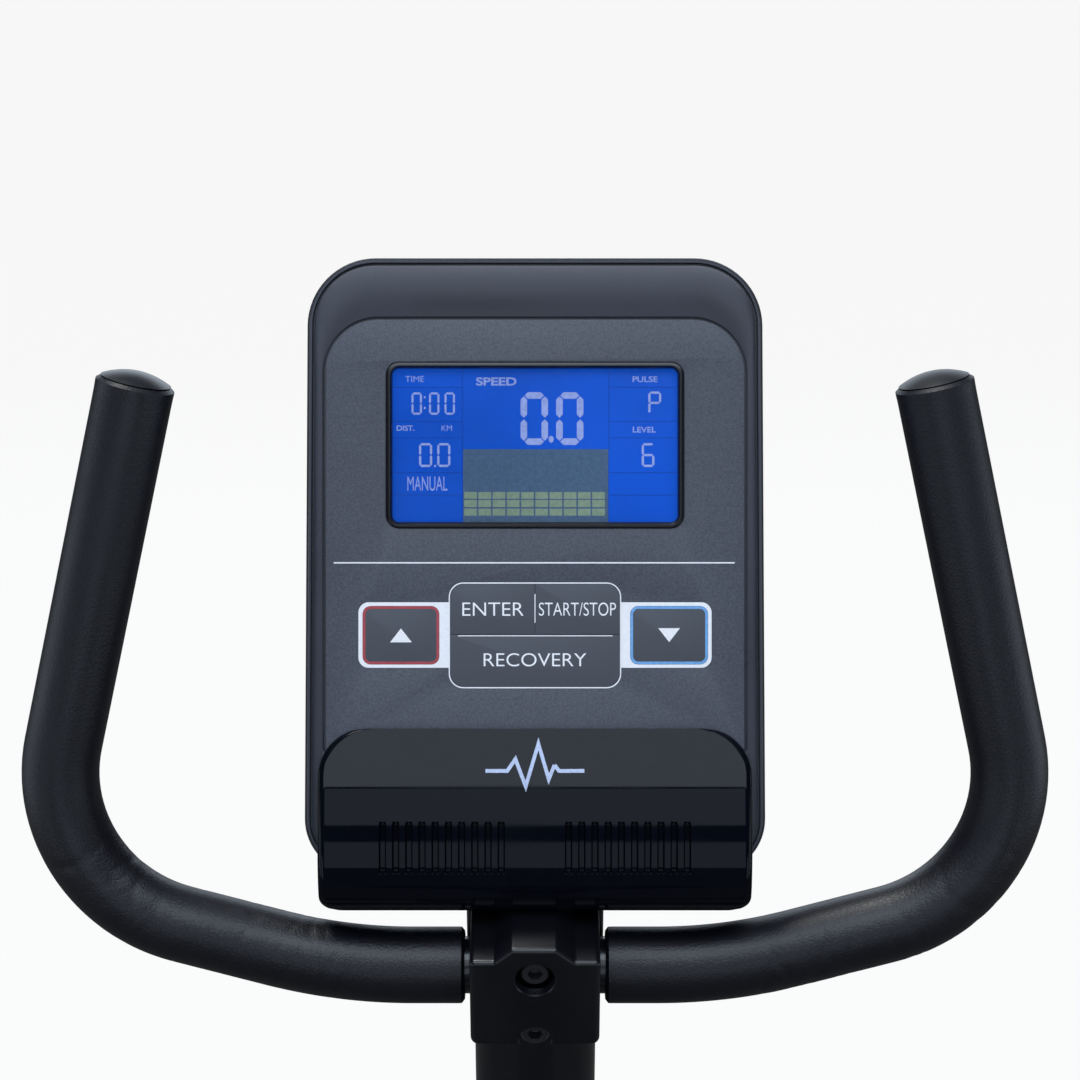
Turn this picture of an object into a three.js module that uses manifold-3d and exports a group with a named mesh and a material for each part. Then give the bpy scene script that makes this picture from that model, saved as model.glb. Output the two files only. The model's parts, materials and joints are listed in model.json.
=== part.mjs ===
// An upright magnetic exercise bike with a console, a padded handlebar and a belt-driven flywheel.
// Millimetres, +Z up, +Y towards the front of the bike, +X to the rider's right.
// The origin is on the floor, under the middle of the whole bike.
import * as THREE from "three";
import { mergeVertices } from "three/addons/utils/BufferGeometryUtils.js";
import Module from "manifold-3d";

const wasm = await Module();
wasm.setup();

// ---------------------------------------------------------------- driving dimensions
const GAP = 0.3; // clearance between faces that touch on the real bike
const DEG = Math.PI / 180;

// Base
const TUBE_R = 25; // stabilizer tube
const TUBE_HALF = 225;
const TUBE_WALL = 2.5;
const AXIS_Z = 38; // height of the stabilizer tubes' axis
const FRONT_Y = 420;
const REAR_Y = -448;
const CAP_IN = 190; // where the end caps start, from the centre line
const CAP_OUT = 262;
const WHEEL_R = 24;
const WHEEL_X = 241;
const WHEEL_Y = 42; // transport wheel ahead of the stabilizer axis
const WHEEL_Z = 27;
const WHEEL_HALF = 9;

// Frame
const SPINE_W = 50;
const SPINE_H = 40;
const CRANK = { y: -10, z: 310 };
const FLYWHEEL = { y: 180, z: 290, r: 105 };
const MAGNET_PIVOT = {
  y: FLYWHEEL.y + 120 * Math.cos(290 * DEG),
  z: FLYWHEEL.z + 120 * Math.sin(290 * DEG),
};
const SHELL_HALF = 64;
const SHELL_WALL = 3;
const SOCKET = { y: 330, z: 160, r: 8 }; // power inlet in the right shell
const SEAT_LEAN = 18 * DEG; // the seat tube leans back
const SEAT_FOOT = { y: -95, z: 310 }; // a point on the seat tube's axis, level with the crank
const SEAT_TOP = 305; // top of the seat tube, along its axis from that point
const SEAT_TUBE_R = 30;
const SEAT_BORE_R = 26.5;
const SEAT_POST_R = 19;

// Drive
const BELT = { x0: 31, x1: 45, thick: 3 };
const PULLEY_R = 110;
const PINION_R = 16; // belt pulley on the flywheel
const ARM_X = 72; // inner face of the crank arms
const ARM_THICK = 14;
const CRANK_LENGTH = 170;
const CRANK_REST = -35 * DEG; // right crank arm, up from straight ahead
const AXLE_R = 8.3;
const PEDAL = { x0: 93, x1: 190, half: 52, thick: 24 };

// Handlebar and post
const POST_LEAN = 8 * DEG; // the post leans towards the rider
const BAR = { y: 179, z: 1056.5, r: 12.7 }; // middle of the handlebar
const GRIP_R = 17;
const GRIP_START = 31.3; // inner end of each grip, from the centre line
const POST = { w: 56, d: 44, wall: 3, axis: -38 }; // axis: post axis behind the bar
const CLAMP = { half: 24, reach: 24.5 }; // clamp blocks, across and along the post
const CLAMP_BOLT = 17.5; // bolts above and below the bar

// Console: a frame of its own, x right, y up its face, z out of its face
const CONSOLE = { y: 233, z: 1220, tilt: 25 * DEG };
const BODY = { top: 143, bottom: -128, halfTop: 100, halfLow: 101.5, back: -40, face: 5 };
const OVERLAY = { half: 91.7, top: 115.5, bottom: -74, z0: 3.6, z1: 4.8 };
const WINDOW = { half: 62.6, top: 94.2, bottom: 26.8, rim: 2.7 };
const COVER = { half: 94.5, top: -63.7, bottom: -143.7, wall: 2.4 };
const KEY_GAP = 0.3;
const KEY_STEM_END = -11.4;
const BOARD = { z0: -14, z1: -12.4 };
const VENT = { count: 10, pitch: 5.72, start: 13, width: 3.2, top: -103, bottom: -126 };

// ---------------------------------------------------------------- finishes
const finish = (color, roughness, metalness) =>
  new THREE.MeshStandardMaterial({ color, roughness, metalness });
const BLACK_PAINT = finish(0x0b0c10, 0.35, 0.1);
const BLACK_PLASTIC = finish(0x14151a, 0.5, 0);
const GLOSS_BLACK = finish(0x05060a, 0.08, 0);
const GREY_PLASTIC = finish(0x33363f, 0.45, 0);
const OVERLAY_GREY = finish(0x43464f, 0.6, 0);
const FOAM = finish(0x0e0f15, 0.7, 0);
const STEEL = finish(0xb5b8bc, 0.3, 1);
const CAST_IRON = finish(0x55585c, 0.5, 0.8);
const RUBBER = finish(0x0a0a0b, 0.8, 0);
const LEATHER = finish(0x101114, 0.55, 0);
const GLASS = finish(0x1d3fd0, 0.05, 0);
const BOARD_GREEN = finish(0x0f4a2a, 0.5, 0);
const BLACK_OXIDE = finish(0x1b1c1e, 0.35, 0.8);

// ---------------------------------------------------------------- solids
// A closed geometry as a manifold solid, and back.
function solidOf(geometry) {
  const bare = geometry.index ? geometry.toNonIndexed() : geometry.clone();
  bare.deleteAttribute("normal");
  bare.deleteAttribute("uv");
  const merged = mergeVertices(bare, 1e-3);
  return new wasm.Manifold(
    new wasm.Mesh({
      numProp: 3,
      vertProperties: merged.attributes.position.array,
      triVerts: new Uint32Array(merged.index.array),
    }),
  );
}

function geometryOf(solid) {
  const mesh = solid.getMesh();
  return new THREE.BufferGeometry()
    .setAttribute("position", new THREE.BufferAttribute(mesh.vertProperties.slice(), 3))
    .setIndex(new THREE.BufferAttribute(mesh.triVerts.slice(), 1));
}

const join = (...parts) => geometryOf(parts.map(solidOf).reduce((a, b) => a.add(b)));
const cut = (part, ...tools) =>
  geometryOf(tools.map(solidOf).reduce((a, b) => a.subtract(b), solidOf(part)));
const common = (a, b) => geometryOf(solidOf(a).intersect(solidOf(b)));
// The largest body of a cut solid, without the slivers that fell off it.
const largest = (geometry) =>
  geometryOf(solidOf(geometry).decompose().sort((a, b) => b.volume() - a.volume())[0]);
const flipped = (geometry) => geometryOf(solidOf(geometry).mirror([1, 0, 0]));

const moved = (geometry, x, y, z) => geometry.clone().translate(x, y, z);

function box(x0, x1, y0, y1, z0, z1) {
  return new THREE.BoxGeometry(x1 - x0, y1 - y0, z1 - z0).translate(
    (x0 + x1) / 2,
    (y0 + y1) / 2,
    (z0 + z1) / 2,
  );
}

// Cylinders along each axis of the current frame.
const rodX = (r, x0, x1, y, z, sides = 16) =>
  new THREE.CylinderGeometry(r, r, x1 - x0, sides)
    .rotateZ(Math.PI / 2)
    .translate((x0 + x1) / 2, y, z);
const rodY = (r, y0, y1, x, z, sides = 16) =>
  new THREE.CylinderGeometry(r, r, y1 - y0, sides).translate(x, (y0 + y1) / 2, z);
const rodZ = (r, z0, z1, x, y, sides = 16) =>
  new THREE.CylinderGeometry(r, r, z1 - z0, sides)
    .rotateX(Math.PI / 2)
    .translate(x, y, (z0 + z1) / 2);

// A closed outline with its corners rounded: points in order, one radius for each.
function rounded(points, radii) {
  const shape = new THREE.Shape();
  const n = points.length;
  points.forEach(([x, y], i) => {
    const corner = new THREE.Vector2(x, y);
    const before = new THREE.Vector2(...points[(i + n - 1) % n]).sub(corner).normalize();
    const after = new THREE.Vector2(...points[(i + 1) % n]).sub(corner).normalize();
    const radius = Array.isArray(radii) ? radii[i] : radii;
    const half = Math.acos(THREE.MathUtils.clamp(before.dot(after), -1, 1)) / 2;
    const reach = radius / Math.tan(half);
    const start = corner.clone().addScaledVector(before, reach);
    const end = corner.clone().addScaledVector(after, reach);
    const middle = before.clone().add(after).normalize();
    const centre = corner.clone().addScaledVector(middle, radius / Math.sin(half));
    const turn = before.x * after.y - before.y * after.x;
    if (i === 0) shape.moveTo(start.x, start.y);
    else shape.lineTo(start.x, start.y);
    if (radius > 0)
      shape.absarc(
        centre.x,
        centre.y,
        radius,
        Math.atan2(start.y - centre.y, start.x - centre.x),
        Math.atan2(end.y - centre.y, end.x - centre.x),
        turn > 0,
      );
  });
  return shape;
}

const rectangle = (x0, x1, y0, y1, radii) =>
  rounded([[x0, y0], [x1, y0], [x1, y1], [x0, y1]], radii);

// An outline in x and y, extruded along z.
const slab = (shape, z0, z1, curveSegments = 2) =>
  new THREE.ExtrudeGeometry(shape, { depth: z1 - z0, bevelEnabled: false, curveSegments })
    .translate(0, 0, z0);

// An outline in y and z, extruded along x.
const CYCLE = new THREE.Matrix4().makeBasis(
  new THREE.Vector3(0, 1, 0),
  new THREE.Vector3(0, 0, 1),
  new THREE.Vector3(1, 0, 0),
);
const sideSlab = (shape, x0, x1, curveSegments = 2) =>
  slab(shape, x0, x1, curveSegments).applyMatrix4(CYCLE);

// A section swept along a curve.
const swept = (section, curve, steps, curveSegments) =>
  new THREE.ExtrudeGeometry(section, {
    steps,
    extrudePath: curve,
    curveSegments,
    bevelEnabled: false,
  });

function disc(r) {
  const shape = new THREE.Shape();
  shape.absarc(0, 0, r, 0, 2 * Math.PI, false);
  return shape;
}

function ring(outer, inner) {
  const shape = disc(outer);
  const hole = new THREE.Path();
  hole.absarc(0, 0, inner, 0, 2 * Math.PI, true);
  shape.holes.push(hole);
  return shape;
}

// A body of revolution about y: [radius, height] pairs, closed on themselves.
const turned = (profile, sides = 24) =>
  new THREE.LatheGeometry(
    [...profile, profile[0]].map(([r, h]) => new THREE.Vector2(r, h)),
    sides,
  );
const turnedX = (profile, y, z, sides = 24) =>
  turned(profile, sides).rotateZ(-Math.PI / 2).translate(0, y, z);

const bike = new THREE.Group();

function piece(name, geometry, material, parent = bike) {
  const mesh = new THREE.Mesh(geometry, material);
  mesh.name = name;
  parent.add(mesh);
  return mesh;
}

// A frame turned about x by an angle, with its origin at y, z.
function frameAt(y, z, turn) {
  const group = new THREE.Group();
  group.position.set(0, y, z);
  group.rotation.x = turn;
  bike.add(group);
  group.updateMatrixWorld(true);
  return group;
}

// A geometry of one frame as another frame sees it.
function seenFrom(target, source, geometry) {
  const matrix = target.matrixWorld.clone().invert();
  if (source) matrix.multiply(source.matrixWorld);
  return geometry.clone().applyMatrix4(matrix);
}

// y runs up the post, z out of its rider side, and x = y = z = 0 is the middle of the bar.
const postFrame = frameAt(BAR.y, BAR.z, Math.PI / 2 + POST_LEAN);
// y runs up the seat tube, z out of its rear side.
const seatFrame = frameAt(SEAT_FOOT.y, SEAT_FOOT.z, Math.PI / 2 + SEAT_LEAN);
const consoleFrame = frameAt(CONSOLE.y, CONSOLE.z, Math.PI / 2 - CONSOLE.tilt);

// A section in x and z, extruded along the post.
const ALONG_POST = new THREE.Matrix4().makeBasis(
  new THREE.Vector3(1, 0, 0),
  new THREE.Vector3(0, 0, 1),
  new THREE.Vector3(0, -1, 0),
);
const postSlab = (shape, y0, y1, curveSegments = 1) =>
  slab(shape, -y1, -y0, curveSegments).applyMatrix4(ALONG_POST);

const SIDES = [["left", -1], ["right", 1]];

// ---------------------------------------------------------------- base
function stabilizer(name, y) {
  const tube = sideSlab(ring(TUBE_R, TUBE_R - TUBE_WALL), -TUBE_HALF, TUBE_HALF, 8);
  piece(name, moved(tube, 0, y, AXIS_Z), BLACK_PAINT);
}
stabilizer("front_stabilizer", FRONT_Y);
stabilizer("rear_stabilizer", REAR_Y);

const between = (side, inner, outer) => [side * inner, side * outer].sort((p, q) => p - q);
const capBore = (side, y, radius = TUBE_R + GAP) =>
  rodX(radius, ...between(side, CAP_IN - 5, TUBE_HALF + GAP), y, AXIS_Z);

// Front caps stand flat on the floor and carry the transport wheels between two ears.
function frontCap(label, side) {
  const [x0, x1] = between(side, CAP_IN, CAP_OUT);
  const outline = rectangle(FRONT_Y - 32, FRONT_Y + 32, 0, 74, [6, 6, 26, 26]);
  const ears = rectangle(FRONT_Y + 8, FRONT_Y + WHEEL_Y + 14, 12, 44, [10, 14, 14, 10]);
  const middle = side * WHEEL_X;
  const well = rodX(WHEEL_R + 3, middle - WHEEL_HALF - 1, middle + WHEEL_HALF + 1,
    FRONT_Y + WHEEL_Y, WHEEL_Z, 20);
  const earsSolid = sideSlab(ears, middle - WHEEL_HALF - 6, middle + WHEEL_HALF + 6);
  const shell = cut(join(sideSlab(outline, x0, x1), earsSolid), capBore(side, FRONT_Y), well);
  const pin = rodX(3.5, middle - WHEEL_HALF - 3, middle + WHEEL_HALF + 3,
    FRONT_Y + WHEEL_Y, WHEEL_Z, 12);
  piece("front_end_cap_" + label, join(shell, pin), BLACK_PLASTIC);
  piece(
    "transport_wheel_" + label,
    cut(
      rodX(WHEEL_R, middle - WHEEL_HALF, middle + WHEEL_HALF, FRONT_Y + WHEEL_Y, WHEEL_Z),
      rodX(4, middle - WHEEL_HALF - 1, middle + WHEEL_HALF + 1, FRONT_Y + WHEEL_Y, WHEEL_Z, 12),
    ),
    RUBBER,
  );
}

// Rear caps turn on the tube: eight flats at growing distances level the bike.
// The flats of a cap's bore clear the tube at every angle.
const TURNING_BORE = (TUBE_R + GAP) / Math.cos(Math.PI / 16);
function rearCap(label, side) {
  const [x0, x1] = between(side, CAP_IN, CAP_OUT);
  const FLATS = 8;
  const apothem = (i) => (i === 0 ? AXIS_Z : AXIS_Z - 6 + i);
  const corner = (i) => {
    const [a, b] = [apothem(i % FLATS), apothem((i + 1) % FLATS)];
    const step = (2 * Math.PI) / FLATS;
    const along = (b - a * Math.cos(step)) / Math.sin(step);
    const down = -Math.PI / 2 + step * i;
    return [
      REAR_Y + a * Math.cos(down) - along * Math.sin(down),
      AXIS_Z + a * Math.sin(down) + along * Math.cos(down),
    ];
  };
  const corners = Array.from({ length: FLATS }, (_, i) => corner(i));
  piece(
    "rear_end_cap_" + label,
    cut(sideSlab(rounded(corners, 6), x0, x1, 2), capBore(side, REAR_Y, TURNING_BORE)),
    BLACK_PLASTIC,
  );
}
for (const [label, side] of SIDES) {
  frontCap(label, side);
  rearCap(label, side);
}

// ---------------------------------------------------------------- main frame
const SPINE_TOP = 138;
const PLATE_TOP = FLYWHEEL.z + 18;

function seatTube() {
  const FOOT = -225; // down inside the spine
  return seenFrom(bike, seatFrame, rodY(SEAT_TUBE_R, FOOT, SEAT_TOP, 0, 0));
}

function postStub() {
  const FOOT = -950;
  const TOP = -500;
  const tube = (inset, foot) =>
    postSlab(
      rectangle(-POST.w / 2 + inset, POST.w / 2 - inset, POST.axis - POST.d / 2 + inset,
        POST.axis + POST.d / 2 - inset, 3),
      foot,
      TOP,
    );
  return seenFrom(bike, postFrame, cut(tube(5, FOOT), moved(tube(8, FOOT + 30), 0, 1, 0)));
}

function mainFrame() {
  const path = new THREE.CatmullRomCurve3(
    [
      [FRONT_Y, 62],
      [FRONT_Y - 60, 88],
      [FRONT_Y - 150, 108],
      [60, 112],
      [-90, 108],
      [REAR_Y + 150, 80],
      [REAR_Y, 58],
    ].map(([y, z]) => new THREE.Vector3(0, y, z)),
    false,
    "catmullrom",
    0.5,
  );
  const section = rectangle(-SPINE_H / 2, SPINE_H / 2, -SPINE_W / 2, SPINE_W / 2, 8);
  section.holes.push(
    rectangle(-SPINE_H / 2 + 3, SPINE_H / 2 - 3, -SPINE_W / 2 + 3, SPINE_W / 2 - 3, 5),
  );
  const spine = swept(section, path, 14, 1);
  const plate = (x0, x1) =>
    sideSlab(
      rounded(
        [
          [FLYWHEEL.y - 55, 96],
          [FLYWHEEL.y + 55, 96],
          [FLYWHEEL.y + 20, PLATE_TOP],
          [FLYWHEEL.y - 20, PLATE_TOP],
        ],
        [2, 2, 18, 18],
      ),
      x0,
      x1,
      3,
    );
  const crossBar = box(20, 54, FLYWHEEL.y - 45, FLYWHEEL.y + 45, 97, 112);
  const crankColumn = box(-16, 16, CRANK.y - 18, CRANK.y + 18, SPINE_TOP - 10, CRANK.z);
  const crankShell = rodX(24, -30, 26, CRANK.y, CRANK.z);
  const brace = sideSlab(
    rounded([[-118, 250], [CRANK.y, 280], [CRANK.y, 310], [-118, 285]], 1),
    -18,
    18,
    1,
  );
  const magnetTab = box(-22, -14, 205, 232, 120, 192);
  const magnetPin = rodX(4, -20, 13, MAGNET_PIVOT.y, MAGNET_PIVOT.z, 12);
  const body = join(
    spine,
    seatTube(),
    postStub(),
    plate(-25, -20),
    plate(49, 54),
    crossBar,
    crankColumn,
    crankShell,
    brace,
    magnetTab,
    magnetPin,
  );
  const seatBore = seenFrom(bike, seatFrame, rodY(SEAT_BORE_R, -195, SEAT_TOP + 5, 0, 0));
  const pinHole = seenFrom(bike, seatFrame, rodZ(6.3, -60, 0, 0, SEAT_TOP - 25, 12));
  return cut(
    body,
    seatBore,
    pinHole,
    rodX(20, -40, 40, CRANK.y, CRANK.z),
    rodX(6.3, -60, 60, FLYWHEEL.y, FLYWHEEL.z, 16),
    rodX(TUBE_R + GAP, -40, 40, FRONT_Y, AXIS_Z),
    rodX(TUBE_R + GAP, -40, 40, REAR_Y, AXIS_Z),
    box(-40, 40, FRONT_Y - 60, FRONT_Y + 60, -20, AXIS_Z + 6),
    box(-40, 40, REAR_Y - 60, REAR_Y + 60, -20, AXIS_Z + 6),
    seenFrom(bike, postFrame, rodY(8, -700, -490, 0, POST.axis, 12)),
  );
}
piece("main_frame", mainFrame(), BLACK_PAINT);

piece(
  "seat_sleeve",
  cut(
    join(
      rodY(SEAT_BORE_R - GAP, SEAT_TOP - 120, SEAT_TOP + GAP, 0, 0),
      rodY(SEAT_TUBE_R + 3, SEAT_TOP + GAP, SEAT_TOP + 12, 0, 0),
    ),
    rodY(SEAT_POST_R + GAP, SEAT_TOP - 130, SEAT_TOP + 20, 0, 0),
    rodZ(6.3, -60, -10, 0, SEAT_TOP - 25, 12),
  ),
  BLACK_PLASTIC,
  seatFrame,
);

// ---------------------------------------------------------------- shells round the drive
// The side outline of the shells, by the points that it passes through, and drawn in by an inset.
const SHELL_POINTS = [
  [-196, 445], [-105, 470], [20, 452], [150, 474], [240, 536], [318, 552],
  [366, 500], [392, 380], [404, 230], [372, 128], [250, 88], [60, 84],
  [-110, 96], [-186, 170], [-212, 310],
];
function shellOutline(inset, count = 26) {
  const curve = new THREE.CatmullRomCurve3(
    SHELL_POINTS.map(([y, z]) => new THREE.Vector3(y, z, 0)),
    true,
    "centripetal",
  );
  const points = Array.from({ length: count }, (_, i) => {
    const at = curve.getPointAt(i / count);
    const along = curve.getTangentAt(i / count);
    return new THREE.Vector2(at.x + along.y * inset, at.y - along.x * inset);
  });
  return new THREE.Shape(points);
}

// A half of the shells: a tray with a rounded edge, open towards the centre line.
function shell(label, side) {
  const EDGE = 14;
  const layer = (inset, depth, bevelSegments) =>
    new THREE.ExtrudeGeometry(shellOutline(inset + EDGE), {
      depth: depth - EDGE,
      bevelThickness: EDGE,
      bevelSize: EDGE,
      bevelSegments,
    }).applyMatrix4(CYCLE);
  const outer = layer(0, SHELL_HALF, 2);
  const inner = layer(SHELL_WALL, SHELL_HALF - SHELL_WALL, 2);
  const half = box(GAP / 2, 200, -600, 600, 0, 800);
  const tray = cut(common(outer, half), inner);
  const openings = [
    seenFrom(bike, seatFrame, rodY(SEAT_TUBE_R + 0.6, -240, 330, 0, 0)),
    seenFrom(
      bike,
      postFrame,
      box(-POST.w / 2 - 0.6, POST.w / 2 + 0.6, -700, -400, POST.axis - 22.6, POST.axis + 22.6),
    ),
    rodX(AXLE_R + 8, -100, 100, CRANK.y, CRANK.z),
    box(-SPINE_W / 2 - 1, SPINE_W / 2 + 1, -300, 500, 40, SPINE_TOP + 2),
    rodX(SOCKET.r + GAP, 50, 80, SOCKET.y, SOCKET.z),
  ];
  const holed = cut(side < 0 ? flipped(tray) : tray, ...openings);
  piece("shell_" + label, largest(holed), BLACK_PLASTIC);
}
for (const [label, side] of SIDES) shell(label, side);

piece(
  "power_socket",
  turnedX(
    [
      [3, 50], [SOCKET.r, 50], [SOCKET.r, SHELL_HALF + GAP], [SOCKET.r + 3, SHELL_HALF + GAP],
      [SOCKET.r + 3, SHELL_HALF + 2], [3, SHELL_HALF + 2],
    ],
    SOCKET.y,
    SOCKET.z,
    16,
  ),
  BLACK_PLASTIC,
);

// ---------------------------------------------------------------- crank and flywheel
piece(
  "bottom_bracket",
  turnedX([[AXLE_R + GAP, -34], [19.7, -34], [19.7, 28], [AXLE_R + GAP, 28]], CRANK.y, CRANK.z, 16),
  STEEL,
);
piece("crank_axle", rodX(AXLE_R, -ARM_X - 12, ARM_X + 12, CRANK.y, CRANK.z), STEEL);
piece(
  "drive_pulley",
  turnedX(
    [
      [AXLE_R + GAP, 29], [24, 29], [24, 35], [PULLEY_R - 12, BELT.x0 - 1],
      [PULLEY_R, BELT.x0 - 1], [PULLEY_R, BELT.x1 + 1], [PULLEY_R - 12, BELT.x1 + 1],
      [24, 41], [24, 48], [AXLE_R + GAP, 48],
    ],
    CRANK.y,
    CRANK.z,
    24,
  ),
  BLACK_PLASTIC,
);

const crankEnd = (side) => ({
  y: CRANK.y + side * CRANK_LENGTH * Math.cos(CRANK_REST),
  z: CRANK.z + side * CRANK_LENGTH * Math.sin(CRANK_REST),
});

// A crank arm: a bar that tapers from its boss on the axle to its pedal end.
function crankArm(label, side) {
  const [x0, x1] = between(side, ARM_X, ARM_X + ARM_THICK);
  const BOSS = 20;
  const TIP = 14;
  const end = crankEnd(side);
  const away = Math.atan2(end.z - CRANK.z, end.y - CRANK.y);
  const lean = Math.acos((BOSS - TIP) / CRANK_LENGTH);
  const shape = new THREE.Shape();
  shape.absarc(CRANK.y, CRANK.z, BOSS, away + lean, away - lean + 2 * Math.PI, false);
  shape.absarc(end.y, end.z, TIP, away - lean, away + lean, false);
  piece(
    "crank_arm_" + label,
    cut(
      sideSlab(shape, x0, x1, 7),
      rodX(AXLE_R + GAP, x0 - 1, x1 + 1, CRANK.y, CRANK.z),
      rodX(6.3, x0 - 1, x1 + 1, end.y, end.z, 12),
    ),
    BLACK_PAINT,
  );
}

function pedal(label, side) {
  const end = crankEnd(side);
  const [s0, s1] = between(side, ARM_X + 1, PEDAL.x1 - 8);
  piece("pedal_spindle_" + label, rodX(6, s0, s1, end.y, end.z, 12), STEEL);
  const [x0, x1] = between(side, PEDAL.x0, PEDAL.x1);
  const platform = slab(
    rectangle(x0, x1, end.y - PEDAL.half, end.y + PEDAL.half, 14),
    end.z - PEDAL.thick / 2,
    end.z + PEDAL.thick / 2,
    3,
  );
  const gap = (y0, y1) => box(x0 + 12, x1 - 12, end.y + y0, end.y + y1, end.z - 20, end.z + 20);
  const [b0, b1] = between(side, PEDAL.x0 - 4, PEDAL.x1 - 6);
  piece(
    "pedal_" + label,
    cut(
      platform,
      gap(16, 36),
      gap(-36, -16),
      rodX(6.4, b0, b1, end.y, end.z, 12),
    ),
    BLACK_PLASTIC,
  );
}

for (const [label, side] of SIDES) {
  crankArm(label, side);
  const [d0, d1] = between(side, SHELL_HALF + 2, SHELL_HALF + 6.5);
  piece(
    "crank_disc_" + label,
    cut(
      rodX(88, d0, d1, CRANK.y, CRANK.z, 28),
      rodX(AXLE_R + GAP, d0 - 1, d1 + 1, CRANK.y, CRANK.z),
    ),
    GREY_PLASTIC,
  );
  pedal(label, side);
}

piece("flywheel_axle", rodX(6, -32, 59, FLYWHEEL.y, FLYWHEEL.z, 16), STEEL);
piece(
  "flywheel",
  turnedX(
    [
      [6.4, -18], [18, -18], [18, -5], [FLYWHEEL.r - 22, -5], [FLYWHEEL.r - 22, -14],
      [FLYWHEEL.r, -14], [FLYWHEEL.r, 12], [FLYWHEEL.r - 22, 12], [FLYWHEEL.r - 22, 3],
      [PINION_R, 3], [PINION_R, 46], [6.4, 46],
    ],
    FLYWHEEL.y,
    FLYWHEEL.z,
    24,
  ),
  CAST_IRON,
);

// The belt runs on both pulleys: two arcs and the two lines that touch them.
function beltLoop(offset, reverse) {
  const [dy, dz] = [FLYWHEEL.y - CRANK.y, FLYWHEEL.z - CRANK.z];
  const away = Math.atan2(dz, dy);
  const lean = Math.acos((PULLEY_R - PINION_R) / Math.hypot(dy, dz));
  const path = reverse ? new THREE.Path() : new THREE.Shape();
  const big = PULLEY_R + offset;
  const small = PINION_R + offset;
  path.absarc(CRANK.y, CRANK.z, big, away + lean, away - lean + 2 * Math.PI, false);
  path.absarc(FLYWHEEL.y, FLYWHEEL.z, small, away - lean, away + lean, false);
  return path;
}
function driveBelt() {
  const loop = beltLoop(0.4 + BELT.thick, false);
  loop.holes.push(beltLoop(0.4, true));
  return sideSlab(loop, BELT.x0, BELT.x1, 14);
}
piece("drive_belt", driveBelt(), RUBBER);

// The magnets' bracket: an arc round the flywheel's lower rear, on a pivot at its front end.
function magnetBracket() {
  const shape = new THREE.Shape();
  const [from, to] = [205 * DEG, 290 * DEG];
  shape.absarc(FLYWHEEL.y, FLYWHEEL.z, FLYWHEEL.r + 3, from, to, false);
  shape.absarc(FLYWHEEL.y, FLYWHEEL.z, FLYWHEEL.r + 12, to, from, true);
  const eye = rodX(8, -12, 10, MAGNET_PIVOT.y, MAGNET_PIVOT.z);
  const hole = rodX(4.4, -20, 20, MAGNET_PIVOT.y, MAGNET_PIVOT.z, 12);
  return cut(join(sideSlab(shape, -12, 10, 8), eye), hole);
}
piece("magnet_bracket", magnetBracket(), STEEL);

piece("tension_motor", box(-20, 22, 30, 84, SPINE_TOP + 2, 182), BLACK_PLASTIC);

// ---------------------------------------------------------------- handlebar post
// The space that the console takes, with clearance.
const CONSOLE_ENVELOPE = box(-120, 120, COVER.bottom - 3, 260, BODY.back - 3.6, 80);

// The slot that the cable takes through the console's bracket and rear wall.
const cableSlot = () =>
  box(-6, 6, BODY.bottom + 3, BODY.bottom + 25, BODY.back - 12, BODY.back + 5);

function handlebarPost() {
  const FOOT = -640;
  const TOP = 90;
  const [z0, z1] = [POST.axis - POST.d / 2, POST.axis + POST.d / 2];
  const section = rectangle(-POST.w / 2, POST.w / 2, z0, z1, 8);
  const hole = rectangle(-POST.w / 2 + POST.wall, POST.w / 2 - POST.wall, z0 + POST.wall,
    z1 - POST.wall, 5);
  const cradle = box(-CLAMP.half, CLAMP.half, -CLAMP.reach, CLAMP.reach, z1 - 1, -2);
  const plate = seenFrom(
    postFrame,
    consoleFrame,
    box(-35, 35, BODY.bottom - 8, BODY.bottom + 50, BODY.back - 5, BODY.back - 0.6),
  );
  const envelope = seenFrom(postFrame, consoleFrame, CONSOLE_ENVELOPE);
  const tube = cut(join(postSlab(section, FOOT, TOP), cradle), postSlab(hole, FOOT - 5, TOP + 5),
    envelope);
  return cut(
    join(tube, plate),
    seenFrom(postFrame, consoleFrame, cableSlot()),
    rodX(BAR.r + GAP, -40, 40, 0, 0, 20),
    rodZ(4.3, -30, 5, 0, CLAMP_BOLT, 12),
    rodZ(4.3, -30, 5, 0, -CLAMP_BOLT, 12),
  );
}
piece("handlebar_post", handlebarPost(), BLACK_PAINT, postFrame);

piece(
  "handlebar_clamp",
  cut(
    box(-CLAMP.half, CLAMP.half, -CLAMP.reach, CLAMP.reach, 2, 18),
    rodX(BAR.r + GAP, -40, 40, 0, 0, 20),
    rodZ(4.3, -5, 30, 0, CLAMP_BOLT, 12),
    rodZ(4.3, -5, 30, 0, -CLAMP_BOLT, 12),
  ),
  BLACK_PAINT,
  postFrame,
);

for (const [label, side] of [["upper", 1], ["lower", -1]])
  piece(
    "clamp_bolt_" + label,
    cut(
      join(
        rodZ(4, -15, 19, 0, side * CLAMP_BOLT, 12),
        rodZ(6.4, 18.3, 26, 0, side * CLAMP_BOLT, 16),
      ),
      rodZ(3.2, 21, 30, 0, side * CLAMP_BOLT, 6),
    ),
    BLACK_OXIDE,
    postFrame,
  );

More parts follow.
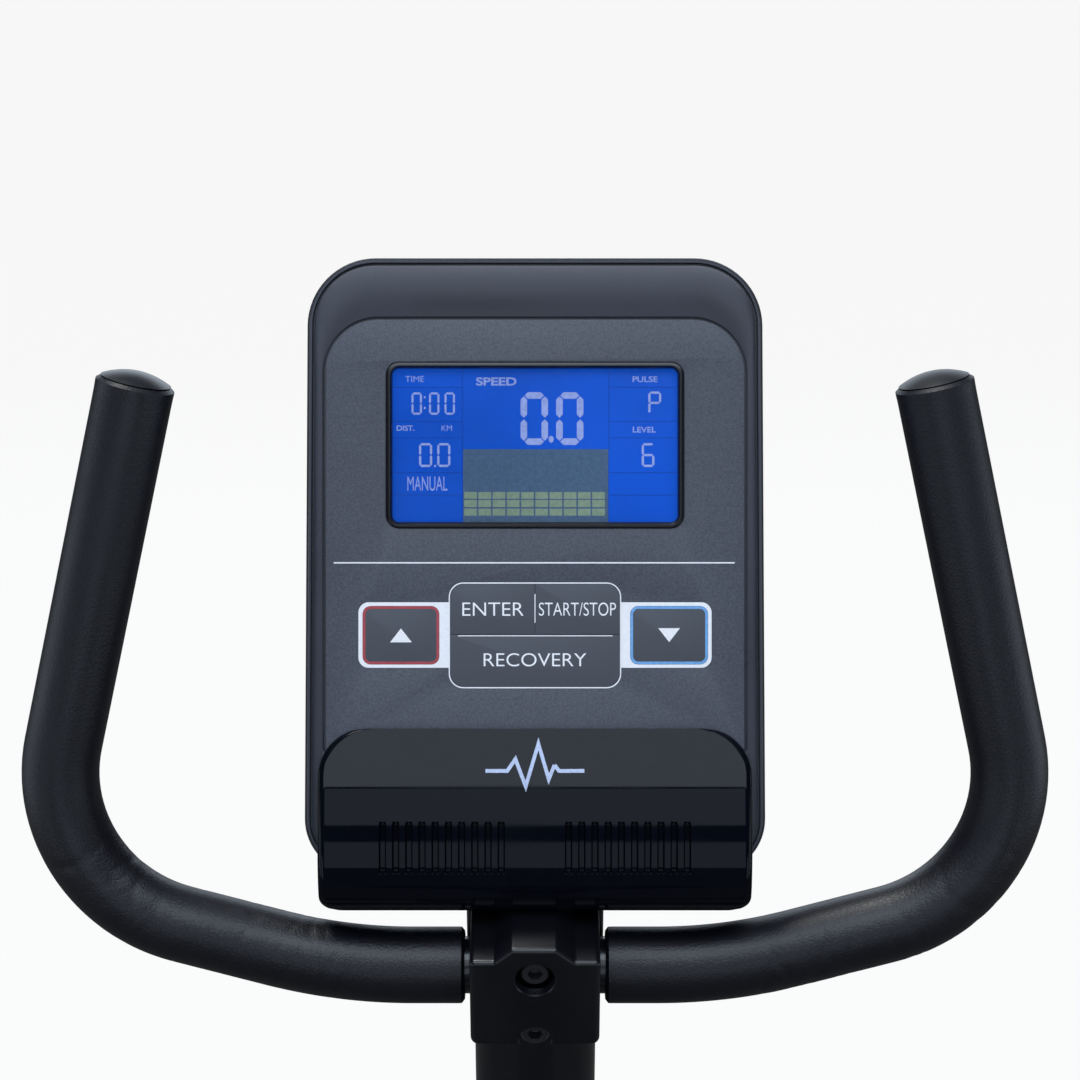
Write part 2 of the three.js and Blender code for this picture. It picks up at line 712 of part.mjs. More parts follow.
function clampCover() {
  const HALF = 28.5;
  const outline = rounded(
    [[-HALF, -21], [HALF, -21], [HALF, 28], [14, 28], [8, 35], [-8, 35], [-14, 28], [-HALF, 28]],
    [4, 4, 2, 2, 2, 2, 2, 2],
  );
  return cut(
    slab(outline, -8, 30),
    seenFrom(postFrame, consoleFrame, CONSOLE_ENVELOPE),
    box(-HALF + 3, HALF - 3, -40, 26, -20, 26.5),
    rodX(BAR.r + 1.5, -40, 40, 0, 0, 20),
    box(-40, 40, -BAR.r - 1.5, BAR.r + 1.5, -20, 0),
    rodZ(9.4, 20, 40, 0, CLAMP_BOLT, 20),
    rodZ(7.6, 20, 40, 0, -CLAMP_BOLT, 20),
  );
}
piece("clamp_cover", clampCover(), BLACK_PLASTIC, postFrame);

function neckCover() {
  const envelope = seenFrom(postFrame, consoleFrame, CONSOLE_ENVELOPE);
  const [z0, z1] = [POST.axis - POST.d / 2, POST.axis + POST.d / 2];
  const bracket = seenFrom(
    postFrame,
    consoleFrame,
    box(-36, 36, BODY.bottom - 9, BODY.bottom + 51, BODY.back - 6, BODY.back),
  );
  const sleeve = cut(
    box(-30.7, 30.7, 15, 120, z0 - 4, z1 + 4),
    box(-POST.w / 2 - GAP, POST.w / 2 + GAP, 0, 130, z0 - GAP, z1 + GAP),
    box(-CLAMP.half - GAP, CLAMP.half + GAP, 0, CLAMP.reach + GAP, z1 - 5, 10),
    envelope,
    bracket,
  );
  return largest(sleeve);
}
piece("neck_cover", neckCover(), BLACK_PLASTIC, postFrame);

// The collar that closes the shells' top round the post.
function postCollar() {
  const [z0, z1] = [POST.axis - POST.d / 2, POST.axis + POST.d / 2];
  const tube = (grow, y0, y1) =>
    postSlab(
      rectangle(-POST.w / 2 - grow, POST.w / 2 + grow, z0 - grow, z1 + grow, 8),
      y0,
      y1,
    );
  return cut(tube(9, -500, -466), tube(GAP, -520, -440));
}
piece("post_collar", postCollar(), BLACK_PLASTIC, postFrame);

piece(
  "sensor_cable",
  swept(
    disc(3),
    new THREE.CatmullRomCurve3(
      [
        [0, -490, -38], [3, -400, -36], [-4, -280, -40], [4, -150, -38], [-2, -60, -40],
        [0, 0, -46], [0, 22, -50], [0, 40, -47], [0, 52, -40],
      ].map((point) => new THREE.Vector3(...point)),
    ),
    20,
    4,
  ),
  RUBBER,
  postFrame,
);

// ---------------------------------------------------------------- handlebar
// The bar runs in straight lines joined by bends. Points are in the console's frame.
const BAR_MIDDLE = seenFrom(consoleFrame, postFrame,
  new THREE.BufferGeometry().setFromPoints([new THREE.Vector3()])).attributes.position;
const BAR_POINTS = [
  [0, BAR_MIDDLE.getY(0), BAR_MIDDLE.getZ(0)],
  [85.9, BAR_MIDDLE.getY(0), BAR_MIDDLE.getZ(0)],
  [222.7, -135.3, -15],
  [171.4, 86.9, 30],
];
const BAR_BENDS = [{ radius: 240, steps: 2 }, { radius: 70, steps: 6 }];
const BAR_SIDES = 6; // pairs of sides round the bar and the grips

// A path of straight lines joined by circular bends, with a station at each end of a line
// and at even steps round each bend. One step of the parameter goes from station to station.
class BentPath extends THREE.Curve {
  constructor(points, bends) {
    super();
    this.stations = [];
    const direction = (i) => points[i + 1].clone().sub(points[i]).normalize();
    this.add(points[0], direction(0));
    bends.forEach(({ radius, steps }, i) => {
      const corner = points[i + 1];
      const [before, after] = [direction(i), direction(i + 1)];
      const angle = before.angleTo(after);
      const axis = before.clone().cross(after).normalize();
      const start = corner.clone().addScaledVector(before, -radius * Math.tan(angle / 2));
      const spoke = before.clone().cross(axis).multiplyScalar(radius);
      const centre = start.clone().sub(spoke);
      for (let k = 0; k <= steps; k++) {
        const turn = (angle * k) / steps;
        this.add(
          centre.clone().add(spoke.clone().applyAxisAngle(axis, turn)),
          before.clone().applyAxisAngle(axis, turn),
        );
      }
    });
    this.add(points[points.length - 1], direction(points.length - 2));
    this.steps = this.stations.length - 1;
  }
  add(point, tangent) {
    this.stations.push({ point, tangent });
  }
  between(t, key, target) {
    const at = t * this.steps;
    const i = Math.min(Math.floor(at), this.steps - 1);
    return target.lerpVectors(this.stations[i][key], this.stations[i + 1][key], at - i);
  }
  getPoint(t, target = new THREE.Vector3()) {
    return this.between(t, "point", target);
  }
  getTangent(t, target = new THREE.Vector3()) {
    return this.between(t, "tangent", target).normalize();
  }
  getPointAt(t, target) {
    return this.getPoint(t, target);
  }
  getTangentAt(t, target) {
    return this.getTangent(t, target);
  }
}

const mirrored = ([x, y, z]) => new THREE.Vector3(-x, y, z);
const plain = ([x, y, z]) => new THREE.Vector3(x, y, z);
const wholeBar = [...BAR_POINTS.slice(1).reverse().map(mirrored), ...BAR_POINTS.slice(1).map(plain)];
const barPath = new BentPath(wholeBar, [...BAR_BENDS].reverse().concat(BAR_BENDS));
const barTube = swept(ring(BAR.r, BAR.r - 2), barPath, barPath.steps, BAR_SIDES);
piece("handlebar", barTube, BLACK_PAINT, consoleFrame);

function gripPath(side) {
  const points = [[GRIP_START, BAR_POINTS[0][1], BAR_POINTS[0][2]], ...BAR_POINTS.slice(1)];
  const path = points.map(side < 0 ? mirrored : plain);
  return new BentPath(path, BAR_BENDS);
}

for (const [label, side] of SIDES) {
  const path = gripPath(side);
  const bore = (BAR.r + GAP) / Math.cos(Math.PI / (2 * BAR_SIDES));
  const foam = swept(ring(GRIP_R, bore), path, path.steps, BAR_SIDES);
  piece("grip_" + label, foam, FOAM, consoleFrame);
  const tip = plain(BAR_POINTS[3]);
  const before = plain(BAR_POINTS[2]);
  const axis = tip.clone().sub(before).normalize();
  if (side < 0) {
    tip.x *= -1;
    axis.x *= -1;
  }
  const cap = turned([[0, GAP], [14.6, GAP], [14.6, 1.8], [9, 4.6], [0, 5.8]], 16);
  cap.applyQuaternion(
    new THREE.Quaternion().setFromUnitVectors(new THREE.Vector3(0, 1, 0), axis),
  );
  piece("grip_cap_" + label, moved(cap, tip.x, tip.y, tip.z), BLACK_PLASTIC, consoleFrame);
}

// ---------------------------------------------------------------- console
const bodyOutline = (inset) =>
  rounded(
    [
      [-BODY.halfLow + inset, BODY.bottom + inset],
      [BODY.halfLow - inset, BODY.bottom + inset],
      [BODY.halfTop - inset, BODY.top - inset],
      [-BODY.halfTop + inset, BODY.top - inset],
    ],
    [24 - inset, 24 - inset, 30 - inset, 30 - inset],
  );

piece(
  "console_back_shell",
  cut(
    slab(bodyOutline(0), BODY.back, -GAP),
    slab(bodyOutline(2.5), BODY.back + 2.5, 5),
    cableSlot(),
  ),
  BLACK_PLASTIC,
  consoleFrame,
);

const overlayOutline = (grow) =>
  rectangle(
    -OVERLAY.half - grow, OVERLAY.half + grow, OVERLAY.bottom, OVERLAY.top + grow,
    [2, 2, 23 + grow, 23 + grow],
  );
const windowBox = (grow, radius) =>
  rectangle(
    -WINDOW.half - grow, WINDOW.half + grow, WINDOW.bottom - grow, WINDOW.top + grow, radius,
  );

// Each key: its outline on the overlay.
const KEYS = {
  key_up: [-75.5, -42, -35.6, -10.1, [3.5, 3.5, 3.5, 3.5]],
  key_down: [41.8, 75.8, -35.6, -10.1, [3.5, 3.5, 3.5, 3.5]],
  key_enter: [-37, -0.2, -22.4, -0.4, [0.5, 0.5, 0.5, 6]],
  key_start_stop: [0.2, 37, -22.4, -0.4, [0.5, 0.5, 6, 0.5]],
  key_recovery: [-37, 37, -45.4, -22.8, [6, 6, 0.5, 0.5]],
};
const keyOutline = ([x0, x1, y0, y1, radii], grow) =>
  rectangle(x0 - grow, x1 + grow, y0 - grow, y1 + grow, radii.map((r) => r + grow));
const keyStem = ([x0, x1, y0, y1], grow) =>
  box(
    (x0 + x1) / 2 - 4 - grow, (x0 + x1) / 2 + 4 + grow,
    (y0 + y1) / 2 - 4 - grow, (y0 + y1) / 2 + 4 + grow,
    KEY_STEM_END, OVERLAY.z0,
  );

piece(
  "console_front_shell",
  cut(
    join(
      cut(
        slab(bodyOutline(1.6), 0, BODY.face),
        slab(overlayOutline(GAP), OVERLAY.z0 - GAP, BODY.face + 1),
      ),
      slab(windowBox(WINDOW.rim, 5.6), 1, BODY.face + 0.8, 3),
    ),
    slab(windowBox(0, 3), -5, 20, 3),
    ...Object.values(KEYS).map((key) => moved(keyStem(key, 0.4), 0, 0, 1)),
  ),
  GREY_PLASTIC,
  consoleFrame,
);

piece(
  "console_overlay",
  cut(
    slab(overlayOutline(0), OVERLAY.z0, OVERLAY.z1),
    slab(windowBox(WINDOW.rim + GAP, 5.9), -5, 20, 3),
    ...Object.values(KEYS).slice(0, 2).map((key) => slab(keyOutline(key, KEY_GAP), -5, 20, 2)),
    slab(rectangle(-37.3, 37.3, -45.7, -0.1, 6.3), -5, 20, 3),
  ),
  OVERLAY_GREY,
  consoleFrame,
);

for (const [name, key] of Object.entries(KEYS)) {
  const CAP_UNDER = 0.7; // the cap stays above the pocket's floor by its travel
  piece(
    name,
    join(
      slab(keyOutline(key, 0), OVERLAY.z0 + CAP_UNDER, OVERLAY.z1, 2),
      moved(keyStem(key, 0), 0, 0, 0.9),
    ),
    OVERLAY_GREY,
    consoleFrame,
  );
}

piece("display_lens", slab(windowBox(-GAP, 2.7), 1.2, 3.4, 3), GLASS, consoleFrame);
piece(
  "display_module",
  slab(rectangle(-WINDOW.half - 4, WINDOW.half + 4, WINDOW.bottom - 4, WINDOW.top + 4, 1),
    -9, -GAP, 1),
  GLASS,
  consoleFrame,
);
piece(
  "circuit_board",
  slab(rectangle(-88, 88, -62, 112, 4), BOARD.z0, BOARD.z1, 2),
  BOARD_GREEN,
  consoleFrame,
);

// The lower cover: a rounded pod over the lower front edge, with two groups of vent slots.
function coverSolid(inset) {
  const front = rectangle(
    -COVER.half + inset, COVER.half - inset, COVER.bottom + inset, COVER.top - inset,
    [6, 6, 20, 20],
  );
  const crown = new THREE.Shape();
  crown.moveTo(COVER.top - inset, BODY.face + 1.5 - inset);
  crown.bezierCurveTo(-78, 12 - inset, -92, 20 - inset, -110, 20 - inset);
  crown.bezierCurveTo(-126, 20 - inset, -138, 13 - inset, COVER.bottom + inset, 0);
  crown.lineTo(COVER.bottom + inset, BODY.back + 2);
  crown.lineTo(COVER.top - inset, BODY.back + 2);
  const side = slab(crown, -130, 130, 5).applyMatrix4(CYCLE);
  return common(slab(front, BODY.back + 2, 40, 2), side);
}
function lowerCover() {
  const slots = [];
  for (const side of [-1, 1])
    for (let i = 0; i < VENT.count; i++) {
      const middle = side * (VENT.start + VENT.width / 2 + i * VENT.pitch);
      slots.push(
        box(middle - VENT.width / 2, middle + VENT.width / 2, VENT.bottom, VENT.top, 6, 40),
      );
    }
  const body = slab(bodyOutline(-GAP), BODY.back - 10, BODY.face + GAP);
  const inner = common(
    coverSolid(COVER.wall),
    box(-200, 200, -200, -60, BODY.back, 60),
  );
  return cut(coverSolid(0), body, inner, ...slots);
}
piece("console_lower_cover", lowerCover(), GLOSS_BLACK, consoleFrame);

// ---------------------------------------------------------------- seat
const RAIL_Z = 762;
const RAIL_TOP = RAIL_Z + 22;
const RAIL_HALF = 95;
const RAIL_Y = SEAT_FOOT.y - (RAIL_Z - SEAT_FOOT.z) * Math.tan(SEAT_LEAN);

function seatPost() {
  const tube = rodY(SEAT_POST_R, SEAT_TOP - 230, 485, 0, 0);
  const bore = rodY(SEAT_POST_R - 2.5, SEAT_TOP - 235, 440, 0, 0);
  const above = box(-60, 60, RAIL_Y - 150, RAIL_Y + 150, RAIL_Z + 1, 900);
  const rail = box(-18, 18, RAIL_Y - RAIL_HALF, RAIL_Y + RAIL_HALF, RAIL_Z, RAIL_TOP);
  const post = seenFrom(bike, seatFrame, cut(tube, bore));
  return join(cut(post, above), rail);
}
piece("seat_post", seatPost(), BLACK_PAINT);

piece(
  "slider_carriage",
  cut(
    box(-26, 26, RAIL_Y - 50, RAIL_Y + 50, RAIL_Z + 2, RAIL_TOP + 6),
    box(-18 - GAP, 18 + GAP, RAIL_Y - 60, RAIL_Y + 60, RAIL_Z - 20, RAIL_TOP + GAP),
    rodX(5.4, 10, 40, RAIL_Y, RAIL_Z + 11, 12),
  ),
  BLACK_PAINT,
);
piece(
  "slider_knob",
  join(
    rodX(5, 18.8, 30, RAIL_Y, RAIL_Z + 11, 12),
    rodX(16, 27, 46, RAIL_Y, RAIL_Z + 11, 12),
  ),
  BLACK_PLASTIC,
);
piece(
  "height_knob",
  join(
    rodZ(5, -(SEAT_TUBE_R + 20), -(SEAT_POST_R + 0.6), 0, SEAT_TOP - 25, 12),
    rodZ(19, -(SEAT_TUBE_R + 44), -(SEAT_TUBE_R + 16), 0, SEAT_TOP - 25, 12),
  ),
  BLACK_PLASTIC,
  seatFrame,
);

// Saddle outline seen from above: broad at the rear, with a short round nose.
function saddleOutline(inset) {
  const [nose, rear] = [RAIL_Y + 150, RAIL_Y - 125];
  const half = 112 - inset;
  const shape = new THREE.Shape();
  shape.moveTo(0, nose - inset);
  shape.bezierCurveTo(30, nose - inset, 34 - inset / 2, nose - 40, 38 - inset / 2, nose - 75);
  shape.bezierCurveTo(46, nose - 130, half, rear + 130, half, rear + 62);
  shape.bezierCurveTo(half, rear + 12, 60, rear + inset, 0, rear + inset);
  shape.bezierCurveTo(-60, rear + inset, -half, rear + 12, -half, rear + 62);
  shape.bezierCurveTo(-half, rear + 130, -46, nose - 130, -38 + inset / 2, nose - 75);
  shape.bezierCurveTo(-34 + inset / 2, nose - 40, -30, nose - inset, 0, nose - inset);
  return shape;
}
const SADDLE_Z = RAIL_TOP + 6 + GAP;
piece("saddle_base", slab(saddleOutline(10), SADDLE_Z, SADDLE_Z + 18, 4), BLACK_PLASTIC);
piece(
  "saddle_pad",
  new THREE.ExtrudeGeometry(saddleOutline(12), {
    depth: 32,
    bevelThickness: 12,
    bevelSize: 12,
    bevelSegments: 2,
    curveSegments: 4,
  }).translate(0, 0, SADDLE_Z + 18 + 12 + GAP),
  LEATHER,
);

export default bike;
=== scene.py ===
"""The looks of an upright exercise bike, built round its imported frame.

Every length is in metres. +Z is up, +Y is the way the rider faces and +X is the rider's right.
"""

import json
import logging
from collections.abc import Callable, Sequence
from dataclasses import dataclass
from enum import Enum
from math import cos, pi, radians, sin, tan

import bmesh
import bpy
import numpy as np
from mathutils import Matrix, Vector


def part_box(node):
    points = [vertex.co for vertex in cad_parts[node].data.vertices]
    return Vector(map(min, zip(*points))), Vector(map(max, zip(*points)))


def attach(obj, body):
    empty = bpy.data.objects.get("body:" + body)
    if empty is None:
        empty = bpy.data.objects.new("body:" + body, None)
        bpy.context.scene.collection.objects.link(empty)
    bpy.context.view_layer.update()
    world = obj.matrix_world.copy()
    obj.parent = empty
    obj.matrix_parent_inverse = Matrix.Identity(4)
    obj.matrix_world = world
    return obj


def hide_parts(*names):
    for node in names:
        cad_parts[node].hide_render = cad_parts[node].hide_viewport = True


Array = np.ndarray
LOG = logging.getLogger("bike")


class Body(str, Enum):
    """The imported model's bodies that pieces ride on."""

    FRAME = "frame"
    CRANK = "crank"
    HANDLEBAR = "handlebar"
    SEAT_POST = "seat_post"
    SADDLE = "saddle"
    SLIDER_KNOB = "slider_knob"
    HEIGHT_KNOB = "height_knob"
    PEDAL_LEFT = "pedal_left"
    PEDAL_RIGHT = "pedal_right"
    WHEEL_LEFT = "wheel_left"
    WHEEL_RIGHT = "wheel_right"
    CAP_LEFT = "level_cap_left"
    CAP_RIGHT = "level_cap_right"


class Side(Enum):
    """The two sides of the bike, as the rider sees them."""

    LEFT = -1
    RIGHT = 1

    @property
    def label(self) -> str:
        """The side's word in a node's name."""
        return self.name.lower()


# ---------------------------------------------------------------- turned frames
@dataclass(frozen=True)
class Placement:
    """A frame turned about X, such as the console's: x right, y along it, z out of its face.

    Attributes:
        origin: Where its origin stands, in the row frame.
        turn: Its turn about X, in degrees.
    """

    origin: tuple[float, float, float]
    turn: float

    def axes(self) -> Array:
        """The frame's axes, as the rows of a matrix."""
        c, s = cos(radians(self.turn)), sin(radians(self.turn))
        return np.array([[1, 0, 0], [0, c, s], [0, -s, c]])

    def world(self, points: Array) -> Array:
        """Turn points of this frame into points of the row frame.

        Args:
            points: An array whose last axis is x, y, z.

        Returns:
            The same points in the row frame.
        """
        return np.asarray(points, float) @ self.axes() + np.array(self.origin)

    def local(self, points: Array) -> Array:
        """Turn points of the row frame into points of this frame."""
        return (np.asarray(points, float) - np.array(self.origin)) @ self.axes().T


ROW = Placement((0.0, 0.0, 0.0), 0.0)
# Seen from the right: x along +Y, y along +Z, z along +X.


# ---------------------------------------------------------------- meshes
def mesh_piece(name: str, points: Array, faces: Sequence, sharp: float = 32.0) -> bpy.types.Object:
    """Put points and faces into a mesh object, close its seams and point its faces outwards.

    Args:
        name: The piece's name.
        points: The points, one row each.
        faces: The faces, as lists of point numbers.
        sharp: Edges sharper than this many degrees stay sharp.

    Returns:
        The new object, in the scene.
    """
    mesh = bpy.data.meshes.new(name)
    mesh.from_pydata(np.asarray(points, float).reshape(-1, 3).tolist(), [], faces)
    return mesh_object(name, mesh, sharp)


def mesh_object(name: str, mesh: bpy.types.Mesh, sharp: float = 32.0) -> bpy.types.Object:
    """Make an object of a mesh, with its doubles merged and its normals outwards.

    A closed mesh that then encloses a negative volume is inside out, and is turned round.

    Args:
        name: The piece's name.
        mesh: Its mesh.
        sharp: Edges sharper than this many degrees stay sharp.

    Returns:
        The new object, in the scene.
    """
    bm = bmesh.new()
    bm.from_mesh(mesh)
    bmesh.ops.remove_doubles(bm, verts=bm.verts, dist=2e-6)
    bmesh.ops.dissolve_degenerate(bm, edges=bm.edges, dist=1e-7)
    bmesh.ops.recalc_face_normals(bm, faces=bm.faces)
    if all(edge.is_manifold for edge in bm.edges) and bm.calc_volume(signed=True) < 0:
        bmesh.ops.reverse_faces(bm, faces=bm.faces)
    bm.to_mesh(mesh)
    bm.free()
    mesh.polygons.foreach_set("use_smooth", np.ones(len(mesh.polygons), bool))
    mesh.set_sharp_from_angle(angle=radians(sharp))
    mesh.name = name
    piece = bpy.data.objects.new(name, mesh)
    bpy.context.scene.collection.objects.link(piece)
    return piece


def grid_faces(rows: int, columns: int, wrap_rows: bool, wrap_columns: bool) -> list:
    """The four-sided faces of a grid of points, row after row, closed on itself where it wraps."""
    i = np.arange(rows if wrap_rows else rows - 1)[:, None]
    j = np.arange(columns if wrap_columns else columns - 1)[None, :]
    k, m = (i + 1) % rows, (j + 1) % columns
    quads = np.stack([i * columns + j, i * columns + m, k * columns + m, k * columns + j], -1)
    return quads.reshape(-1, 4).tolist()


def loft(name: str, loops: Array, closed: bool = False, sharp: float = 32.0) -> bpy.types.Object:
    """A skin over a row of closed loops that all have the same number of points.

    Args:
        name: The piece's name.
        loops: The loops, as an array of loop, point and coordinate.
        closed: Whether the last loop joins the first. If not, both ends get a flat cap.
        sharp: Edges sharper than this many degrees stay sharp.

    Returns:
        The new object.
    """
    loops = np.asarray(loops, float)
    rows, columns = loops.shape[:2]
    faces = grid_faces(rows, columns, closed, True)
    if not closed:
        faces += [list(range(columns))[::-1], list(range((rows - 1) * columns, rows * columns))]
    return mesh_piece(name, loops, faces, sharp)


def lathe(name: str, profile: Sequence, centre: Sequence[float], axis: str = "x",
          sides: int = 64, place: Placement = ROW, sharp: float = 32.0) -> bpy.types.Object:
    """A body of revolution: each profile point (distance along, radius) swept in a full circle.

    Args:
        name: The piece's name.
        profile: Points of distance along the axis and radius, closed or from pole to pole.
        centre: The point where the distance is nought.
        axis: The axis of the frame that it turns about: x, y or z.
        sides: Steps round the circle.
        place: The frame that centre and axis are in.
        sharp: Edges sharper than this many degrees stay sharp.

    Returns:
        The new object.
    """
    profile = np.asarray(profile, float)
    turn = np.linspace(0, 2 * pi, sides, endpoint=False)
    along = np.repeat(profile[:, :1], sides, 1)
    first, second = profile[:, 1:] * np.cos(turn), profile[:, 1:] * np.sin(turn)
    order = {"x": (along, first, second), "y": (first, along, second), "z": (first, second, along)}
    points = place.world(np.stack(order[axis], -1) + np.array(centre))
    closed = profile[0, 1] > 1e-7 or profile[-1, 1] > 1e-7
    return mesh_piece(name, points, grid_faces(len(profile), sides, closed, True), sharp)


def rounded(corners: Sequence, radii: float | Sequence[float], steps: int = 8,
            inset: float = 0.0) -> Array:
    """A closed outline whose corners are arcs that touch both of their edges.

    Each corner's arc has its centre at radius / sin(half angle) along the corner's bisector. An
    inset moves every edge inwards by the same distance and shortens each outer radius by it.

    Args:
        corners: The corners, in counter-clockwise order.
        radii: One radius, or one for each corner.
        steps: Steps round each arc.
        inset: How far each edge moves inwards.

    Returns:
        The outline's points, steps + 1 for each corner.
    """
    points = np.asarray(corners, float)
    radius = np.broadcast_to(np.asarray(radii, float), len(points)).copy()
    before = np.roll(points, 1, 0) - points
    after = np.roll(points, -1, 0) - points
    before /= np.linalg.norm(before, axis=1, keepdims=True)
    after /= np.linalg.norm(after, axis=1, keepdims=True)
    turn = after[:, 1] * -before[:, 0] - after[:, 0] * -before[:, 1]
    bulge = np.where(turn >= 0, 1.0, -1.0)
    half = np.arccos(np.clip((before * after).sum(1), -1, 1)) / 2
    middle = before + after
    middle /= np.linalg.norm(middle, axis=1, keepdims=True)
    points = points + middle * (bulge * inset / np.sin(half))[:, None]
    radius = np.maximum(radius - bulge * inset, 2e-5)
    centre = points + middle * (radius / np.sin(half))[:, None]
    span = pi - 2 * half
    start = np.arctan2(-middle[:, 1], -middle[:, 0]) - bulge * span / 2
    angle = start[:, None] + (bulge * span)[:, None] * np.linspace(0, 1, steps + 1)
    arc = np.stack([np.cos(angle), np.sin(angle)], -1) * radius[:, None, None]
    return (centre[:, None] + arc).reshape(-1, 2)


def rect(x0: float, x1: float, y0: float, y1: float) -> list[tuple[float, float]]:
    """A rectangle's corners, counter-clockwise from the lower left."""
    return [(x0, y0), (x1, y0), (x1, y1), (x0, y1)]


def raised(outline: Array, height: float) -> Array:
    """A flat outline lifted to a height."""
    return np.column_stack([outline, np.full(len(outline), height)])


@dataclass(frozen=True)
class Edge:
    """A rounded edge: the inset and height of each step of a quarter circle."""

    radius: float
    steps: int = 4

    def rise(self, low: float) -> list[tuple[float, float]]:
        """From a bottom face at low, out and up to the wall."""
        turn = np.linspace(0, pi / 2, self.steps + 1)
        return list(zip(self.radius * (1 - np.sin(turn)), low + self.radius * (1 - np.cos(turn))))

    def fall(self, high: float) -> list[tuple[float, float]]:
        """From the wall, in and up to a top face at high."""
        turn = np.linspace(0, pi / 2, self.steps + 1)
        return list(zip(self.radius * (1 - np.cos(turn)), high - self.radius * (1 - np.sin(turn))))


def slab(name: str, corners: Sequence, radii: float | Sequence[float], low: float, high: float,
         edge: float | tuple[float, float] = 0.001, place: Placement = ROW, axis: str = "z",
         steps: int = 8, edge_steps: int = 4) -> bpy.types.Object:
    """A plate with rounded corners and rounded edges.

    Args:
        name: The piece's name.
        corners: The outline's corners, counter-clockwise.
        radii: The corners' radii.
        low: Where its lower face is, along the axis.
        high: Where its upper face is, along the axis.
        edge: The radius of its edges, or of its lower and its upper ones.
        place: The frame that it is in.
        axis: z for a plate in x and y, or x for one in y and z.
        steps: Steps round each corner.
        edge_steps: Steps round each edge.

    Returns:
        The new object.
    """
    lower, upper = edge if isinstance(edge, tuple) else (edge, edge)
    rings = Edge(lower, edge_steps).rise(low) + Edge(upper, edge_steps).fall(high)
    loops = np.array([raised(rounded(corners, radii, steps, inset), z) for inset, z in rings])
    if axis == "x":
        loops = loops[..., [2, 0, 1]]
    return loft(name, place.world(loops))


def band(name: str, rings: Sequence[tuple[Array, float]], place: Placement) -> bpy.types.Object:
    """A ring-shaped body through outlines at given heights, the last one joined to the first."""
    loops = np.array([raised(outline, z) for outline, z in rings])
    return loft(name, place.world(loops), closed=True)


def path_frames(path: Array, reference: Sequence[float]) -> tuple[Array, Array]:
    """Two directions across a path at each of its points.

    The first is the reference with its share along the path taken out; the second is across both.

    Args:
        path: The path's points.
        reference: A direction that the path never runs along.

    Returns:
        The two directions, one row for each point.
    """
    along = np.gradient(path, axis=0)
    along /= np.linalg.norm(along, axis=1, keepdims=True)
    ref = np.array(reference, float)
    first = ref - (along @ ref)[:, None] * along
    first /= np.linalg.norm(first, axis=1, keepdims=True)
    return first, np.cross(along, first)


def sweep(name: str, path: Array, section: Array, reference: Sequence[float] = (1, 0, 0),
          scale: Array | float = 1.0, closed: bool = False,
          sharp: float = 32.0) -> bpy.types.Object:
    """A section carried along a path, as wide at each point as the scale says.

    Args:
        name: The piece's name.
        path: The path's points.
        section: The section's outline, its x across the path along the reference.
        reference: The direction that the section's x keeps.
        scale: One scale, or one for each point of the path.
        closed: Whether the path closes on itself.
        sharp: Edges sharper than this many degrees stay sharp.

    Returns:
        The new object.
    """
    first, second = path_frames(path, reference)
    size = np.broadcast_to(np.asarray(scale, float), len(path))[:, None, None]
    across = section[None, :, :1] * first[:, None] + section[None, :, 1:] * second[:, None]
    return loft(name, path[:, None] + across * size, closed, sharp)


def circle(radius: float, sides: int = 32) -> Array:
    """A circle's points, counter-clockwise."""
    turn = np.linspace(0, 2 * pi, sides, endpoint=False)
    return radius * np.column_stack([np.cos(turn), np.sin(turn)])


def flat_piece(name: str, outlines: Sequence[Array], low: float, high: float,
               edge: float = 0.0, place: Placement = ROW) -> bpy.types.Object:
    """A plate with holes: a filled flat curve, where an outline inside another is a hole.

    Args:
        name: The piece's name.
        outlines: Closed outlines in the frame's x and y.
        low: The height of its lower face.
        high: The height of its upper face.
        edge: The radius of its edges.
        place: The frame that it is in.

    Returns:
        The new object.
    """
    curve = bpy.data.curves.new(name, "CURVE")
    curve.dimensions, curve.fill_mode = "2D", "BOTH"
    curve.extrude = (high - low) / 2 - edge
    curve.bevel_depth, curve.bevel_resolution, curve.offset = edge, 2, -edge
    for outline in outlines:
        spline = curve.splines.new("POLY")
        spline.points.add(len(outline) - 1)
        spline.points.foreach_set("co", np.column_stack([outline, np.zeros((len(outline), 1)),
                                                         np.ones((len(outline), 1))]).ravel())
        spline.use_cyclic_u = True
    return curve_piece(name, curve, np.array([0, 0, (low + high) / 2]), place)


def curve_piece(name: str, curve: bpy.types.Curve, shift: Array, place: Placement,
                stretch: Callable[[Array], Array] | None = None) -> bpy.types.Object:
    """Turn a flat curve or a text into a mesh, and put its points into the row frame.

    Args:
        name: The piece's name.
        curve: The curve, which is removed.
        shift: Added to its points in its own frame.
        place: The frame that it is in.
        stretch: Applied to its points before the shift.

    Returns:
        The new object.
    """
    source = bpy.data.objects.new(name + "_curve", curve)
    bpy.context.scene.collection.objects.link(source)
    graph = bpy.context.evaluated_depsgraph_get()
    mesh = bpy.data.meshes.new_from_object(source.evaluated_get(graph))
    bpy.data.objects.remove(source)
    bpy.data.curves.remove(curve)
    points = np.empty(len(mesh.vertices) * 3)
    mesh.vertices.foreach_get("co", points)
    points = points.reshape(-1, 3)
    if stretch:
        points = stretch(points)
    mesh.vertices.foreach_set("co", place.world(points + shift).ravel())
    mesh.materials.clear()
    return mesh_object(name, mesh)


